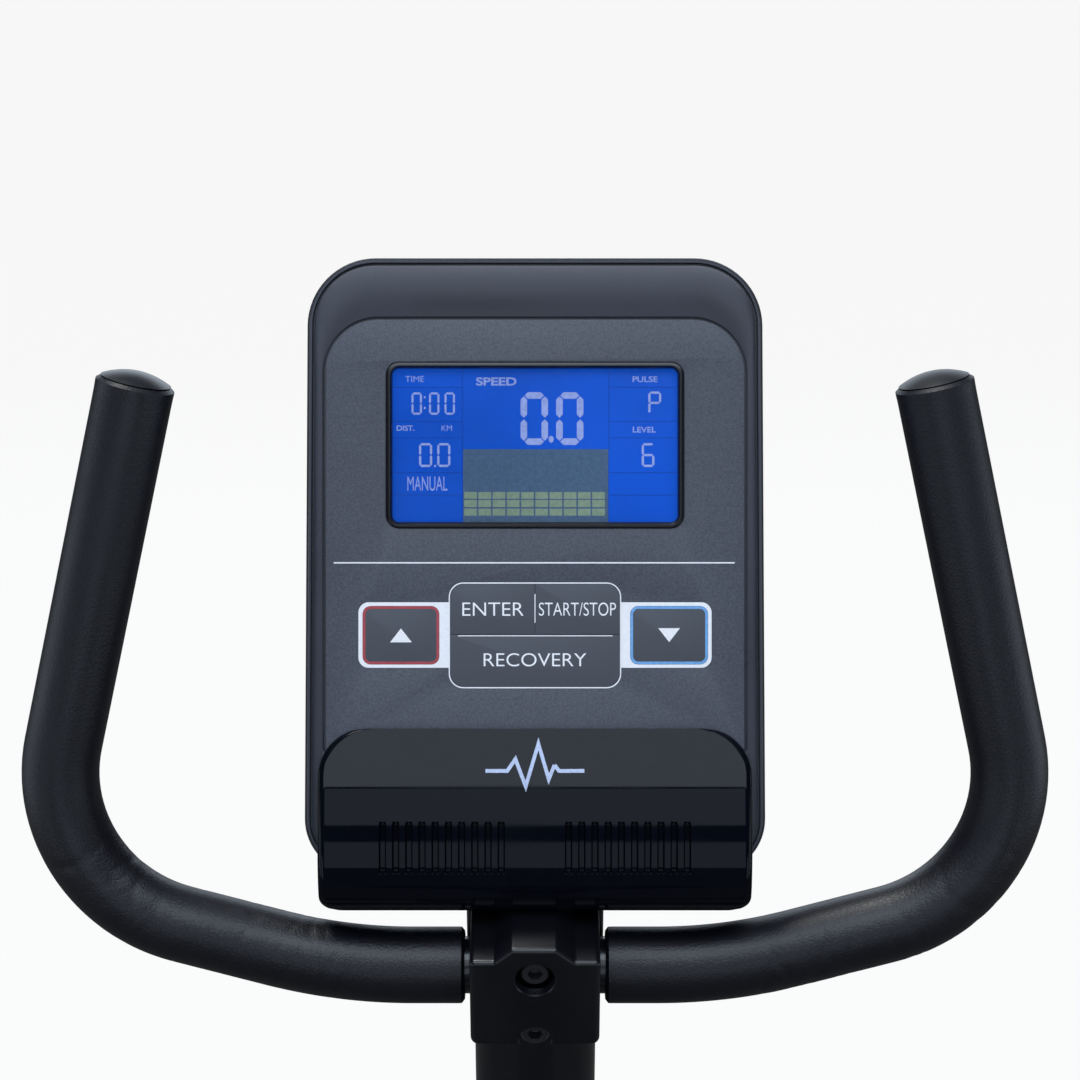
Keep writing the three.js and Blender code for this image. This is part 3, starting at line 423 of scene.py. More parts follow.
def words(name: str, text: str, centre: tuple[float, float], width: float, height: float,
          level: float, place: Placement, bold: float = 0.0) -> bpy.types.Object:
    """A line of print, fitted to a width and a height.

    Args:
        name: The piece's name.
        text: What it says.
        centre: The middle of the line, in the frame's x and y.
        width: How wide the line is.
        height: How high its capitals are.
        level: The height of the print's underside.
        place: The frame that it is in.
        bold: How much each stroke grows, in units of the letters' size.

    Returns:
        The new object.
    """
    curve = bpy.data.curves.new(name, "FONT")
    curve.body, curve.offset, curve.extrude = text, bold, 0.01
    curve.resolution_u = 6

    def fit(points: Array) -> Array:
        """Stretch the letters to the line's own width and height, PRINT_THICK thick."""
        low, high = points.min(0), points.max(0)
        size = np.array([width, height, PRINT_THICK]) / (high - low)
        return (points - (low + high) / 2) * size

    shift = np.array([*centre, level + PRINT_THICK / 2])
    return curve_piece(name, curve, shift, place, fit)


PRINT_THICK = 0.00008


def merged(name: str, pieces: Sequence[bpy.types.Object]) -> bpy.types.Object:
    """Join pieces into one object under a name, keeping each one's material.

    Args:
        name: The joined piece's name.
        pieces: The pieces, of which the first is kept.

    Returns:
        The joined object.
    """
    with bpy.context.temp_override(active_object=pieces[0], selected_editable_objects=list(pieces)):
        bpy.ops.object.join()
    pieces[0].name = pieces[0].data.name = name
    return pieces[0]


def carve(piece: bpy.types.Object, *tools: bpy.types.Object) -> bpy.types.Object:
    """Cut tools out of a piece, and remove them."""
    for tool in tools:
        cut = piece.modifiers.new("cut", "BOOLEAN")
        cut.operation, cut.solver, cut.object = "DIFFERENCE", "EXACT", tool
        graph = bpy.context.evaluated_depsgraph_get()
        mesh = bpy.data.meshes.new_from_object(piece.evaluated_get(graph))
        piece.modifiers.clear()
        old, piece.data = piece.data, mesh
        bpy.data.meshes.remove(old)
        bpy.data.objects.remove(tool)
    piece.data.polygons.foreach_set("use_smooth", np.ones(len(piece.data.polygons), bool))
    piece.data.set_sharp_from_angle(angle=radians(28))
    return piece


# ---------------------------------------------------------------- finishes
def new_group(name: str, inputs: dict[str, tuple[str, float]],
              outputs: Sequence[str]) -> tuple[bpy.types.NodeTree, bpy.types.Node, bpy.types.Node]:
    """A node group with named inputs and value outputs.

    Args:
        name: The group's name.
        inputs: For each input, its socket type and its first value.
        outputs: The names of its value outputs.

    Returns:
        The group, its input node and its output node.
    """
    group = bpy.data.node_groups.new(name, "ShaderNodeTree")
    for label, (kind, value) in inputs.items():
        socket = group.interface.new_socket(label, in_out="INPUT", socket_type=kind)
        if kind == "NodeSocketFloat":
            socket.default_value = value
    for label in outputs:
        group.interface.new_socket(label, in_out="OUTPUT", socket_type="NodeSocketFloat")
    return group, group.nodes.new("NodeGroupInput"), group.nodes.new("NodeGroupOutput")


def grain_group() -> bpy.types.NodeTree:
    """The moulded surface that most finishes share: a fine grain, and broad soft clouds.

    Returns:
        The group, with Vector, Fine, Broad and Stretch inputs and Height, Cloud and Speck outputs.
    """
    if "surface_grain" in bpy.data.node_groups:
        return bpy.data.node_groups["surface_grain"]
    group, given, out = new_group(
        "surface_grain",
        {"Vector": ("NodeSocketVector", 0), "Fine": ("NodeSocketFloat", 1500),
         "Broad": ("NodeSocketFloat", 14)},
        ("Height", "Cloud", "Speck"),
    )
    link = group.links.new
    fine, speck, broad = (group.nodes.new("ShaderNodeTexNoise") for _ in range(3))
    fine.inputs["Detail"].default_value, fine.inputs["Roughness"].default_value = 3, 0.62
    speck.inputs["Detail"].default_value, speck.inputs["Roughness"].default_value = 1, 0.5
    broad.inputs["Detail"].default_value, broad.inputs["Distortion"].default_value = 4, 0.4
    half = group.nodes.new("ShaderNodeMath")
    half.operation = "MULTIPLY"
    half.inputs[1].default_value = 0.45
    for node, scale in ((fine, given.outputs["Fine"]), (speck, half.outputs[0]),
                        (broad, given.outputs["Broad"])):
        link(given.outputs["Vector"], node.inputs["Vector"])
        link(scale, node.inputs["Scale"])
    link(given.outputs["Fine"], half.inputs[0])
    link(fine.outputs["Fac"], out.inputs["Height"])
    link(broad.outputs["Fac"], out.inputs["Cloud"])
    link(speck.outputs["Fac"], out.inputs["Speck"])
    return group


def cells_group() -> bpy.types.NodeTree:
    """Pebbled cells with creases between them, as on leather and closed-cell foam.

    Returns:
        The group, with Vector and Scale inputs and Height and Crease outputs.
    """
    if "surface_cells" in bpy.data.node_groups:
        return bpy.data.node_groups["surface_cells"]
    group, given, out = new_group(
        "surface_cells",
        {"Vector": ("NodeSocketVector", 0), "Scale": ("NodeSocketFloat", 700)},
        ("Height", "Crease"),
    )
    link = group.links.new
    near = group.nodes.new("ShaderNodeTexVoronoi")
    edge = group.nodes.new("ShaderNodeTexVoronoi")
    edge.feature = "DISTANCE_TO_EDGE"
    for node in (near, edge):
        link(given.outputs["Vector"], node.inputs["Vector"])
        link(given.outputs["Scale"], node.inputs["Scale"])
    flip = group.nodes.new("ShaderNodeMath")
    flip.operation = "SUBTRACT"
    flip.inputs[0].default_value = 1.0
    widen = group.nodes.new("ShaderNodeMath")
    widen.operation, widen.use_clamp = "MULTIPLY", True
    widen.inputs[1].default_value = 6.0
    link(near.outputs["Distance"], flip.inputs[1])
    link(edge.outputs["Distance"], widen.inputs[0])
    link(flip.outputs[0], out.inputs["Height"])
    link(widen.outputs[0], out.inputs["Crease"])
    return group


Colour = tuple[float, float, float]


class Surface(Enum):
    """What the small relief of a finish is."""

    GRAIN = "grain"
    CELLS = "cells"
    BRUSHED = "brushed"


@dataclass(frozen=True)
class Finish:
    """A finish, and what its surface does close up.

    Attributes:
        name: The material's name.
        slot: The record's material slot; not used.
        colour: Its middle colour, linear.
        roughness: Its middle roughness.
        metallic: 1 for bare metal.
        coat: The strength of a clear coat.
        fine: Grains for each metre.
        relief: The strength of the bump.
        depth: The depth of the bump, in metres.
        cloud: How much the colour wanders over the piece, as a share.
        speck: How much the colour wanders from grain to grain, as a share.
        wander: How far the roughness wanders.
        surface: The kind of relief.
        sheen: The strength of a soft sheen.
        glow: The strength of its own light, in its own colour.
        specular: The strength of its plain reflections, 0.5 for an ordinary surface.
    """

    name: str
    slot: str
    colour: Colour
    roughness: float
    metallic: float = 0.0
    coat: float = 0.0
    fine: float = 1500.0
    relief: float = 0.25
    depth: float = 0.00006
    cloud: float = 0.10
    speck: float = 0.10
    wander: float = 0.06
    surface: Surface = Surface.GRAIN
    sheen: float = 0.0
    glow: float = 0.0
    specular: float = 0.5

    def material(self) -> bpy.types.Material:
        """The finish's material, made the first time it is asked for."""
        if self.name in bpy.data.materials:
            return bpy.data.materials[self.name]
        made = bpy.data.materials.new(self.name)
        made.use_nodes = True
        self.wire(made.node_tree)
        return made

    def shade(self, share: float) -> tuple[float, float, float, float]:
        """The finish's colour, lighter or darker by a share."""
        return (*(min(max(c * (1 + share), 0.0), 1.0) for c in self.colour), 1.0)

    def wire(self, tree: bpy.types.NodeTree) -> None:
        """Join the shared groups to the Principled BSDF.

        The colour goes from dark to light with the clouds and the specks, and the roughness wanders
        with the clouds. The relief is a bump whose height is the grain, the cells or the brushing.
        """
        new, link = tree.nodes.new, tree.links.new
        shader = tree.nodes["Principled BSDF"]
        shader.inputs["Metallic"].default_value = self.metallic
        shader.inputs["Specular IOR Level"].default_value = self.specular
        shader.inputs["Coat Weight"].default_value = self.coat
        shader.inputs["Coat Roughness"].default_value = 0.04
        shader.inputs["Sheen Weight"].default_value = self.sheen
        shader.inputs["Sheen Roughness"].default_value = 0.4
        place = new("ShaderNodeTexCoord")
        grain = new("ShaderNodeGroup")
        grain.node_tree = grain_group()
        grain.inputs["Fine"].default_value = self.fine
        vector = place.outputs["Object"]
        if self.surface is Surface.BRUSHED:
            turn = new("ShaderNodeMapping")
            turn.inputs["Scale"].default_value = (0.04, 1.0, 1.0)
            link(vector, turn.inputs["Vector"])
            vector = turn.outputs["Vector"]
        link(vector, grain.inputs["Vector"])
        wander = new("ShaderNodeMath")
        wander.operation = "MULTIPLY_ADD"
        total = max(self.cloud + self.speck, 1e-6)
        wander.inputs[1].default_value = self.cloud / total
        scaled = new("ShaderNodeMath")
        scaled.operation = "MULTIPLY"
        scaled.inputs[1].default_value = self.speck / total
        link(grain.outputs["Speck"], scaled.inputs[0])
        link(grain.outputs["Cloud"], wander.inputs[0])
        link(scaled.outputs[0], wander.inputs[2])
        blend = new("ShaderNodeValToRGB")
        blend.color_ramp.elements[0].position, blend.color_ramp.elements[1].position = 0.3, 0.7
        blend.color_ramp.elements[0].color = self.shade(-total)
        blend.color_ramp.elements[1].color = self.shade(total)
        link(wander.outputs[0], blend.inputs["Fac"])
        link(blend.outputs["Color"], shader.inputs["Base Color"])
        rough = new("ShaderNodeMapRange")
        rough.inputs["From Min"].default_value, rough.inputs["From Max"].default_value = 0.3, 0.7
        rough.inputs["To Min"].default_value = max(self.roughness - self.wander, 0.02)
        rough.inputs["To Max"].default_value = self.roughness + self.wander
        link(grain.outputs["Cloud"], rough.inputs["Value"])
        link(rough.outputs["Result"], shader.inputs["Roughness"])
        height = grain.outputs["Height"]
        if self.surface is Surface.CELLS:
            cells = new("ShaderNodeGroup")
            cells.node_tree = cells_group()
            cells.inputs["Scale"].default_value = self.fine
            link(place.outputs["Object"], cells.inputs["Vector"])
            height = cells.outputs["Crease"]
        bump = new("ShaderNodeBump")
        bump.inputs["Strength"].default_value = self.relief
        bump.inputs["Distance"].default_value = self.depth
        link(height, bump.inputs["Height"])
        link(bump.outputs["Normal"], shader.inputs["Normal"])
        if self.glow:
            shader.inputs["Emission Strength"].default_value = self.glow
            link(blend.outputs["Color"], shader.inputs["Emission Color"])


PAINT = Finish("satin_black_paint", "frame_paint", (0.0055, 0.006, 0.0085), 0.32, coat=0.3,
               fine=900,
               relief=0.12, depth=0.00004)
BAR_PAINT = Finish("bar_black_paint", "bar_paint", (0.0055, 0.006, 0.0085), 0.3, coat=0.3, fine=900,
                   relief=0.12, depth=0.00004)
PLASTIC = Finish("moulded_black", "plastic_black", (0.006, 0.0065, 0.009), 0.4, fine=2200,
                 relief=0.3)
POLISHED = Finish("polished_black", "plastic_black", (0.0035, 0.0038, 0.006), 0.26, fine=1200,
                  relief=0.08)
SHELL_PLASTIC = Finish("shell_black", "plastic_black", (0.010, 0.011, 0.0145), 0.38, fine=1400,
                       relief=0.35, depth=0.00008)
TRIM_PLASTIC = Finish("trim_grey", "plastic_black", (0.05, 0.054, 0.065), 0.36, fine=1800)
GLOSS = Finish("piano_black", "cover_gloss", (0.002, 0.003, 0.006), 0.05, coat=0.0, fine=300,
               relief=0.02, specular=0.13)
BEZEL = Finish("slate_bezel", "bezel_plastic", (0.030, 0.034, 0.048), 0.32, fine=1600, relief=0.12,
               depth=0.00004, speck=0.05)
OVERLAY = Finish("slate_film", "overlay_film", (0.063, 0.070, 0.092), 0.5, fine=2600, relief=0.5,
                 depth=0.00006, cloud=0.06, speck=0.22)
KEY_FILM = Finish("key_film", "key_film", (0.058, 0.064, 0.083), 0.5, fine=2600, relief=0.5,
                  depth=0.00006, cloud=0.06, speck=0.22)
FOAM = Finish("closed_cell_foam", "foam", (0.0024, 0.0028, 0.0062), 0.44, fine=430, relief=0.22,
              depth=0.00022, cloud=0.12, speck=0.1, surface=Surface.CELLS, specular=0.5)
STEEL = Finish("plated_steel", "steel", (0.5, 0.5, 0.49), 0.28, metallic=1.0,
               surface=Surface.BRUSHED)
BOLT = Finish("black_oxide", "bolt_black", (0.09, 0.092, 0.1), 0.28, metallic=0.8, fine=2500)
IRON = Finish("cast_iron", "cast_iron", (0.17, 0.17, 0.175), 0.5, metallic=0.9, fine=700,
              relief=0.6,
              depth=0.0002)
BELT_RUBBER = Finish("belt_rubber", "belt_rubber", (0.012, 0.012, 0.013), 0.6, fine=900)
WHEEL_RUBBER = Finish("wheel_rubber", "wheel_rubber", (0.014, 0.014, 0.015), 0.6, fine=1200,
                      relief=0.5)
CABLE = Finish("cable_sheath", "cable_rubber", (0.012, 0.012, 0.013), 0.5)
SKIN = Finish("saddle_skin", "saddle_skin", (0.009, 0.0092, 0.012), 0.42, fine=520, relief=0.5,
              depth=0.00025, surface=Surface.CELLS, cloud=0.15)
THREAD = Finish("stitching", "saddle_skin", (0.03, 0.03, 0.034), 0.6, fine=3000)
REFLECTOR = Finish("amber_reflector", "plastic_black", (0.62, 0.16, 0.01), 0.15, coat=0.6, fine=500,
                   relief=0.6, depth=0.0003, surface=Surface.CELLS)
BOARD = Finish("solder_mask", "board", (0.01, 0.09, 0.04), 0.35)
# The white print glows faintly in its own colour. This is painted light: it makes the print brighter than the
# lamps alone would, and no light shines behind the film.
WHITE_INK_PAINTED_GLOW = Finish("white_ink_painted_glow", "overlay_film", (0.82, 0.83, 0.87), 0.45, relief=0.1, cloud=0.02,
                   speck=0.03, glow=0.12)
RED_INK = Finish("red_ink", "overlay_film", (0.42, 0.055, 0.07), 0.45, relief=0.1, cloud=0.05)
BLUE_INK = Finish("blue_ink", "overlay_film", (0.16, 0.4, 0.78), 0.45, relief=0.1, cloud=0.05)
PALE_INK = Finish("pale_blue_ink", "cover_gloss", (0.38, 0.46, 0.66), 0.3, relief=0.05, cloud=0.04)
LCD_BLUE = Finish("lcd_blue", "lcd", (0.0015, 0.045, 0.32), 0.35, cloud=0.2, speck=0.02,
                  relief=0.05,
                  glow=0.9, specular=0.06)
LCD_LINE = Finish("lcd_line", "lcd", (0.004, 0.03, 0.2), 0.35, relief=0.05, glow=0.6, specular=0.06)
LCD_DIGIT = Finish("lcd_digit", "lcd", (0.2, 0.25, 0.47), 0.35, relief=0.05, glow=0.7,
                   specular=0.06)
LCD_WORD = Finish("lcd_word", "lcd", (0.18, 0.23, 0.45), 0.35, relief=0.05, glow=0.7, specular=0.06)
LCD_PANEL = Finish("lcd_panel", "lcd", (0.045, 0.078, 0.12), 0.35, relief=0.05, glow=0.6,
                   specular=0.06)
LCD_CELL = Finish("lcd_cell", "lcd", (0.145, 0.2, 0.125), 0.35, relief=0.05, glow=0.6,
                  specular=0.06)


def dress(piece: bpy.types.Object, finish: Finish, body: Body | str,
          *nodes: str) -> bpy.types.Object:
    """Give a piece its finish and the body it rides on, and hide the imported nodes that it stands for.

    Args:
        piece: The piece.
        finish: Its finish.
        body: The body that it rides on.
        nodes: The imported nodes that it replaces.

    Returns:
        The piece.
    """
    piece.data.materials.clear()
    piece.data.materials.append(finish.material())
    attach(piece, body.value if isinstance(body, Body) else body)
    if nodes:
        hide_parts(*nodes)
    return piece


def restyle(node: str, finish: Finish) -> None:
    """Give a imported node's own mesh a finish."""
    mesh = FRAME["nodes"][node].data
    mesh.materials.clear()
    mesh.materials.append(finish.material())


# ---------------------------------------------------------------- studio
@dataclass
class Studio:
    """The pale floor, the lights and the camera."""

    camera_at: tuple[float, float, float] = (0.0022, -0.8919, 1.7654)
    camera_pitch: float = 65.0
    camera_lens: float = 94.7
    floor_half: float = 60.0
    pale: float = 0.895
    dim: float = 0.05

    def build(self) -> None:
        """Make the camera, the floor, the sky and the lamps."""
        scene = bpy.context.scene
        scene.view_settings.view_transform = "Standard"
        camera = bpy.data.cameras.new("camera")
        camera.lens, camera.sensor_width, camera.clip_end = self.camera_lens, 36.0, 200.0
        seen = bpy.data.objects.new("camera", camera)
        seen.location, seen.rotation_euler = self.camera_at, (radians(self.camera_pitch), 0, 0)
        scene.collection.objects.link(seen)
        scene.camera = seen
        self.floor()
        self.sky()
        self.lamp("overhead", (0, 0.75, 2.9), (0, 0.75, 0), (2.6, 1.9), 7)
        self.lamp("key", (0, -0.72, 2.9), (0, -0.5, 0), (2.6, 1.0), 35)
        self.lamp("front", (0, -2.4, 3.2), (0, 0.2, 1.2), (2.0, 1.25), 13)
        self.lamp("rider_side", (0, -3.1, 1.5), (0, 0.2, 1.15), (2.2, 1.3), 11)
        self.lamp("left_bank", (-3.0, 0.2, 0.8), (0, 0.1, 0.5), (2.6, 1.4), 16)
        self.lamp("right_bank", (3.0, 0.2, 0.8), (0, 0.1, 0.5), (2.6, 1.4), 16)
        self.lamp("far_bank", (0, 3.2, 1.6), (0, 0, 0.8), (2.8, 1.6), 26)
        self.lamp("rear_left", (-2.6, -2.4, 0.7), (0, 0, 0.4), (1.6, 1.2), 8)
        self.lamp("rear_right", (2.6, -2.4, 0.7), (0, 0, 0.4), (1.6, 1.2), 8)
        sun = bpy.data.lights.new("sun", "SUN")
        sun.energy, sun.angle = 1.2, radians(15)
        shining = bpy.data.objects.new("sun", sun)
        shining.rotation_euler = (radians(-18), radians(-14), 0)
        scene.collection.objects.link(shining)

    def glow(self, tree: bpy.types.NodeTree, pale: float, dim: float) -> bpy.types.NodeSocket:
        """A strength that is pale where the camera looks straight at it, and dim in reflections."""
        seen = tree.nodes.new("ShaderNodeLightPath")
        share = tree.nodes.new("ShaderNodeMapRange")
        share.inputs["To Min"].default_value, share.inputs["To Max"].default_value = dim, pale
        tree.links.new(seen.outputs["Is Camera Ray"], share.inputs["Value"])
        return share.outputs["Result"]

    def floor(self) -> None:
        """A wide pale floor with its own light, so that it stays even to its edge."""
        h = self.floor_half
        piece = mesh_piece("floor", np.array([(-h, -h, 0), (h, -h, 0), (h, h, 0), (-h, h, 0)]),
                           [[0, 1, 2, 3]])
        paint = bpy.data.materials.new("studio_floor")
        paint.use_nodes = True
        shader = paint.node_tree.nodes["Principled BSDF"]
        shader.inputs["Base Color"].default_value = (0.08, 0.08, 0.08, 1)
        shader.inputs["Roughness"].default_value = 0.9
        shader.inputs["Specular IOR Level"].default_value = 0.0
        shader.inputs["Emission Color"].default_value = (1, 1, 1, 1)
        paint.node_tree.links.new(self.glow(paint.node_tree, self.pale, self.dim),
                                  shader.inputs["Emission Strength"])
        piece.data.materials.append(paint)

    def sky(self) -> None:
        """A pale backdrop that lights the bike only dimly."""
        world = bpy.data.worlds.new("studio")
        world.use_nodes = True
        shader = world.node_tree.nodes["Background"]
        shader.inputs["Color"].default_value = (1.0, 1.0, 1.0, 1)
        world.node_tree.links.new(self.glow(world.node_tree, 0.905, 0.045),
                                  shader.inputs["Strength"])
        bpy.context.scene.world = world

    def lamp(self, name: str, at: Sequence[float], aim: Sequence[float],
             size: tuple[float, float], power: float) -> bpy.types.Object:
        """A soft rectangular lamp.

        Args:
            name: The lamp's name.
            at: Where it hangs.
            aim: What it points at.
            size: Its width and height.
            power: Its power in watts.

        Returns:
            The lamp.
        """
        light = bpy.data.lights.new(name, "AREA")
        light.shape, light.size, light.size_y, light.energy = "RECTANGLE", *size, power
        light.color = (0.77, 0.87, 1.0)
        lamp = bpy.data.objects.new(name, light)
        lamp.location = at
        lamp.rotation_euler = (Vector(aim) - Vector(at)).to_track_quat("-Z", "Y").to_euler()
        bpy.context.scene.collection.objects.link(lamp)
        return lamp


# ---------------------------------------------------------------- console
@dataclass
class Console:
    """The console: its shells, face film, display, keys and glossy lower cover.

    x runs right, y up the face and z out of it.
    """

    place: Placement
    half_top: float = 0.1
    half_low: float = 0.1015
    top: float = 0.143
    bottom: float = -0.128
    back: float = -0.040
    face: float = 0.005
    rim_width: float = 0.0027
    window: tuple[float, float, float, float] = (-0.0626, 0.0626, 0.0268, 0.0942)
    film_half: float = 0.0917
    film_top: float = 0.1155
    film_bottom: float = -0.074
    film_low: float = 0.0037
    film_high: float = 0.0048
    line_wide: float = 0.00055

    def outline(self, inset: float, steps: int = 16) -> Array:
        """The body's outline, drawn in by an inset."""
        corners = [(-self.half_low, self.bottom), (self.half_low, self.bottom),
                   (self.half_top, self.top), (-self.half_top, self.top)]
        return rounded(corners, (0.024, 0.024, 0.030, 0.030), steps, inset)

    def film_outline(self, inset: float, steps: int = 16) -> Array:
        """The face film's outline."""
        return rounded(rect(-self.film_half, self.film_half, self.film_bottom, self.film_top),
                       (0.002, 0.002, 0.023, 0.023), steps, inset)

    def window_outline(self, grow: float, radius: float, steps: int = 16) -> Array:
        """The window's outline, grown on every side."""
        x0, x1, y0, y1 = self.window
        return rounded(rect(x0 - grow, x1 + grow, y0 - grow, y1 + grow), radius, steps)

    def build(self) -> None:
        """Make every piece of the console."""
        self.shells()
        self.film()
        self.display()
        self.keys()
        self.prints()
        LowerCover(self.place).build()

    def shells(self) -> None:
        """The rear tray, and the bezel with its pocket and the ring round the window."""
        tray = [(inset, z) for inset, z in Edge(0.012, 8).rise(self.back)]
        tray += [(0.0, -0.0012), (0.0004, -0.0004), (0.0025, -0.0003), (0.0025, -0.03)]
        rings = [(self.outline(inset), z) for inset, z in tray]
        loops = np.array([raised(outline, z) for outline, z in rings])
        piece = loft("console_rear_shell", self.place.world(loops))
        dress(piece, PLASTIC, Body.FRAME, "console_back_shell")
        lip = ((0.0012, 0.0036), (0.0016, 0.0041), (0.0024, 0.0041), (0.0027, 0.0037),
               (0.0028, 0.0015),
               (0.0037, 0.0015), (0.0037, 0.0043), (0.0039, 0.0048), (0.0046, self.face))
        edge = [(self.outline(inset), z) for inset, z in lip]
        pocket = [(self.film_outline(-0.0016), self.face),
                  (self.film_outline(-0.0012), self.face - 0.00015),
                  (self.film_outline(-0.00085), self.face - 0.0006),
                  (self.film_outline(-0.0008), 0.0035)]
        w = self.rim_width
        ring = [(self.window_outline(w, 0.0056), 0.0035), (self.window_outline(w, 0.0056), 0.0049),
                (self.window_outline(w - 0.0003, 0.0053), 0.0055),
                (self.window_outline(w - 0.0009, 0.0048), 0.0058),
                (self.window_outline(w - 0.0018, 0.0042), 0.0057),
                (self.window_outline(w - 0.0024, 0.0036), 0.0050),
                (self.window_outline(0.0, 0.0030), 0.0040), (self.window_outline(0.0, 0.0030), 0.0)]
        rings = [(self.outline(0.0012), 0.0), *edge, *pocket, *ring]
        dress(band("console_bezel", rings, self.place), BEZEL, Body.FRAME, "console_front_shell")
        trim = [(w + 0.0001, 0.0060, 0.0036), (w + 0.0001, 0.0060, 0.0050),
                (w - 0.0003, 0.0056, 0.0057),
                (w - 0.0009, 0.0051, 0.0060), (w - 0.0017, 0.0044, 0.0060),
                (w - 0.0023, 0.0038, 0.0054),
                (0.0001, 0.0032, 0.0046), (0.0, 0.0030, 0.0033), (w - 0.0006, 0.0053, 0.0033)]
        loops = np.array([raised(self.window_outline(grow, radius), z) for grow, radius, z in trim])
        dress(loft("window_ring", self.place.world(loops), closed=True), POLISHED, Body.FRAME)

    def film(self) -> None:
        """The face film, with holes for the window and the keys."""
        holes = [self.window_outline(self.rim_width + 0.00015, 0.0058)]
        holes += [key.outline(-0.0001) for key in KEYS[:2]]
        holes.append(rounded(rect(-0.0372, 0.0372, -0.0456, -0.0002), 0.0062))
        piece = flat_piece("console_film", [self.film_outline(0.0), *holes], self.film_low,
                           self.film_high, 0.00015, self.place)
        dress(piece, OVERLAY, Body.FRAME, "console_overlay")

    def keys(self) -> None:
        """The five keys, each on its own body."""
        for key in KEYS:
            piece = slab(key.node + "_cap", key.corners(), key.radii, 0.00445, self.film_high,
                         0.00012,
                         self.place, steps=6, edge_steps=2)
            dress(piece, KEY_FILM, key.node, key.node)

    def prints(self) -> None:
        """The white lines, the key frames, the arrows and the words."""
        top, wide, place = self.film_high, self.line_wide, self.place
        thick = top + PRINT_THICK

        def frame(name: str, outer: Array, inner: Array, finish: Finish, body: Body | str) -> None:
            """A printed ring between two outlines."""
            dress(flat_piece(name, [outer, inner], top, thick, 0.0, place), finish, body)

        line = rounded(rect(-0.0882, 0.0875, 0.0086, 0.0092), 0.0001, 2)
        dress(flat_piece("print_rule", [line], top, thick, 0.0, place), WHITE_INK_PAINTED_GLOW, Body.FRAME)
        for key, ink in zip(KEYS[:2], (RED_INK, BLUE_INK)):
            x0, x1, y0, y1 = key.box
            out = -0.0019 if key.x < 0 else 0.0013
            far = -0.0377 if key.x < 0 else 0.0774
            near = x0 + out if key.x < 0 else 0.0375
            left = 0.0045 if key.x < 0 else 0.0001
            right = 0.0001 if key.x < 0 else 0.0045
            block = rounded(rect(near, far, y0 - 0.0015, y1 + 0.0017), (left, right, right, left))
            frame(key.node + "_block", block, key.outline(-0.0001), WHITE_INK_PAINTED_GLOW, Body.FRAME)
            frame(key.node + "_border", key.outline(0.0), key.outline(0.0012), ink, key.node)
            point = 1 if key.x < 0 else -1
            mid = (y0 + y1) / 2 - point * 0.0001
            arrow = np.array([(-0.00475, -0.003), (0.00475, -0.003), (0, 0.0031)]) * (1, point)
            arrow = arrow[:: point] + ((x0 + x1) / 2, mid)
            dress(flat_piece(key.node + "_arrow", [arrow], top, thick, 0.0, place), WHITE_INK_PAINTED_GLOW,
                  key.node)
        block = rect(-0.0378, 0.0378, -0.0461, 0.0003)
        frame("print_block", rounded(block, 0.0064, 10), rounded(block, 0.0064, 10, wide * 0.95),
              WHITE_INK_PAINTED_GLOW, Body.FRAME)
        dress(flat_piece("print_divider",
                         [rounded(rect(-0.0002, 0.0002, -0.0174, -0.0048), 0.00005, 1)],
                         top, thick, 0.0, place), WHITE_INK_PAINTED_GLOW, KEYS[3].node)
        dress(flat_piece("print_middle",
                         [rounded(rect(-0.0337, 0.034, -0.0233, -0.0229), 0.00005, 1)],
                         top, thick, 0.0, place), WHITE_INK_PAINTED_GLOW, KEYS[4].node)
        for key, text, centre, width in (
            (KEYS[2], "ENTER", (-0.0184, -0.0114), 0.0269),
            (KEYS[3], "START/STOP", (0.0186, -0.0114), 0.0338),
            (KEYS[4], "RECOVERY", (0.0, -0.0336), 0.045),
        ):
            piece = words(key.node + "_words", text, centre, width, 0.0058, top, place, -0.006)
            dress(piece, WHITE_INK_PAINTED_GLOW, key.node)

    def display(self) -> None:
        """The backlit panel with its digits, and the clear window over it."""
        x0, x1, y0, y1 = self.window
        panel = slab("display_panel", rect(x0 - 0.004, x1 + 0.004, y0 - 0.004, y1 + 0.004), 0.001,
                     -0.009, 0.0009, 0.0003, self.place, steps=3, edge_steps=2)
        dress(panel, LCD_BLUE, Body.FRAME, "display_module")
        Display(self.place).build()
        pane = slab("display_window", rect(x0 + 0.0001, x1 - 0.0001, y0 + 0.0001, y1 - 0.0001),
                    0.0028,
                    0.0022, 0.0032, 0.00015, self.place, edge_steps=2)
        dress(pane, PLASTIC, Body.FRAME, "display_lens")
        pane.data.materials.clear()
        pane.data.materials.append(self.clear())

    @staticmethod
    def clear() -> bpy.types.Material:
        """A clear window: mostly see-through, with a polished face that has faint wipe marks."""
        made = bpy.data.materials.new("clear_window")
        made.use_nodes = True
        tree = made.node_tree
        shader = tree.nodes["Principled BSDF"]
        shader.inputs["Base Color"].default_value = (0.05, 0.12, 0.4, 1)
        shader.inputs["Alpha"].default_value = 0.06
        shader.inputs["Specular IOR Level"].default_value = 0.2
        grain = tree.nodes.new("ShaderNodeGroup")
        grain.node_tree = grain_group()
        grain.inputs["Fine"].default_value = 260
        place = tree.nodes.new("ShaderNodeTexCoord")
        tree.links.new(place.outputs["Object"], grain.inputs["Vector"])
        rough = tree.nodes.new("ShaderNodeMapRange")
        rough.inputs["To Min"].default_value, rough.inputs["To Max"].default_value = 0.02, 0.12
        tree.links.new(grain.outputs["Cloud"], rough.inputs["Value"])
        tree.links.new(rough.outputs["Result"], shader.inputs["Roughness"])
        return made


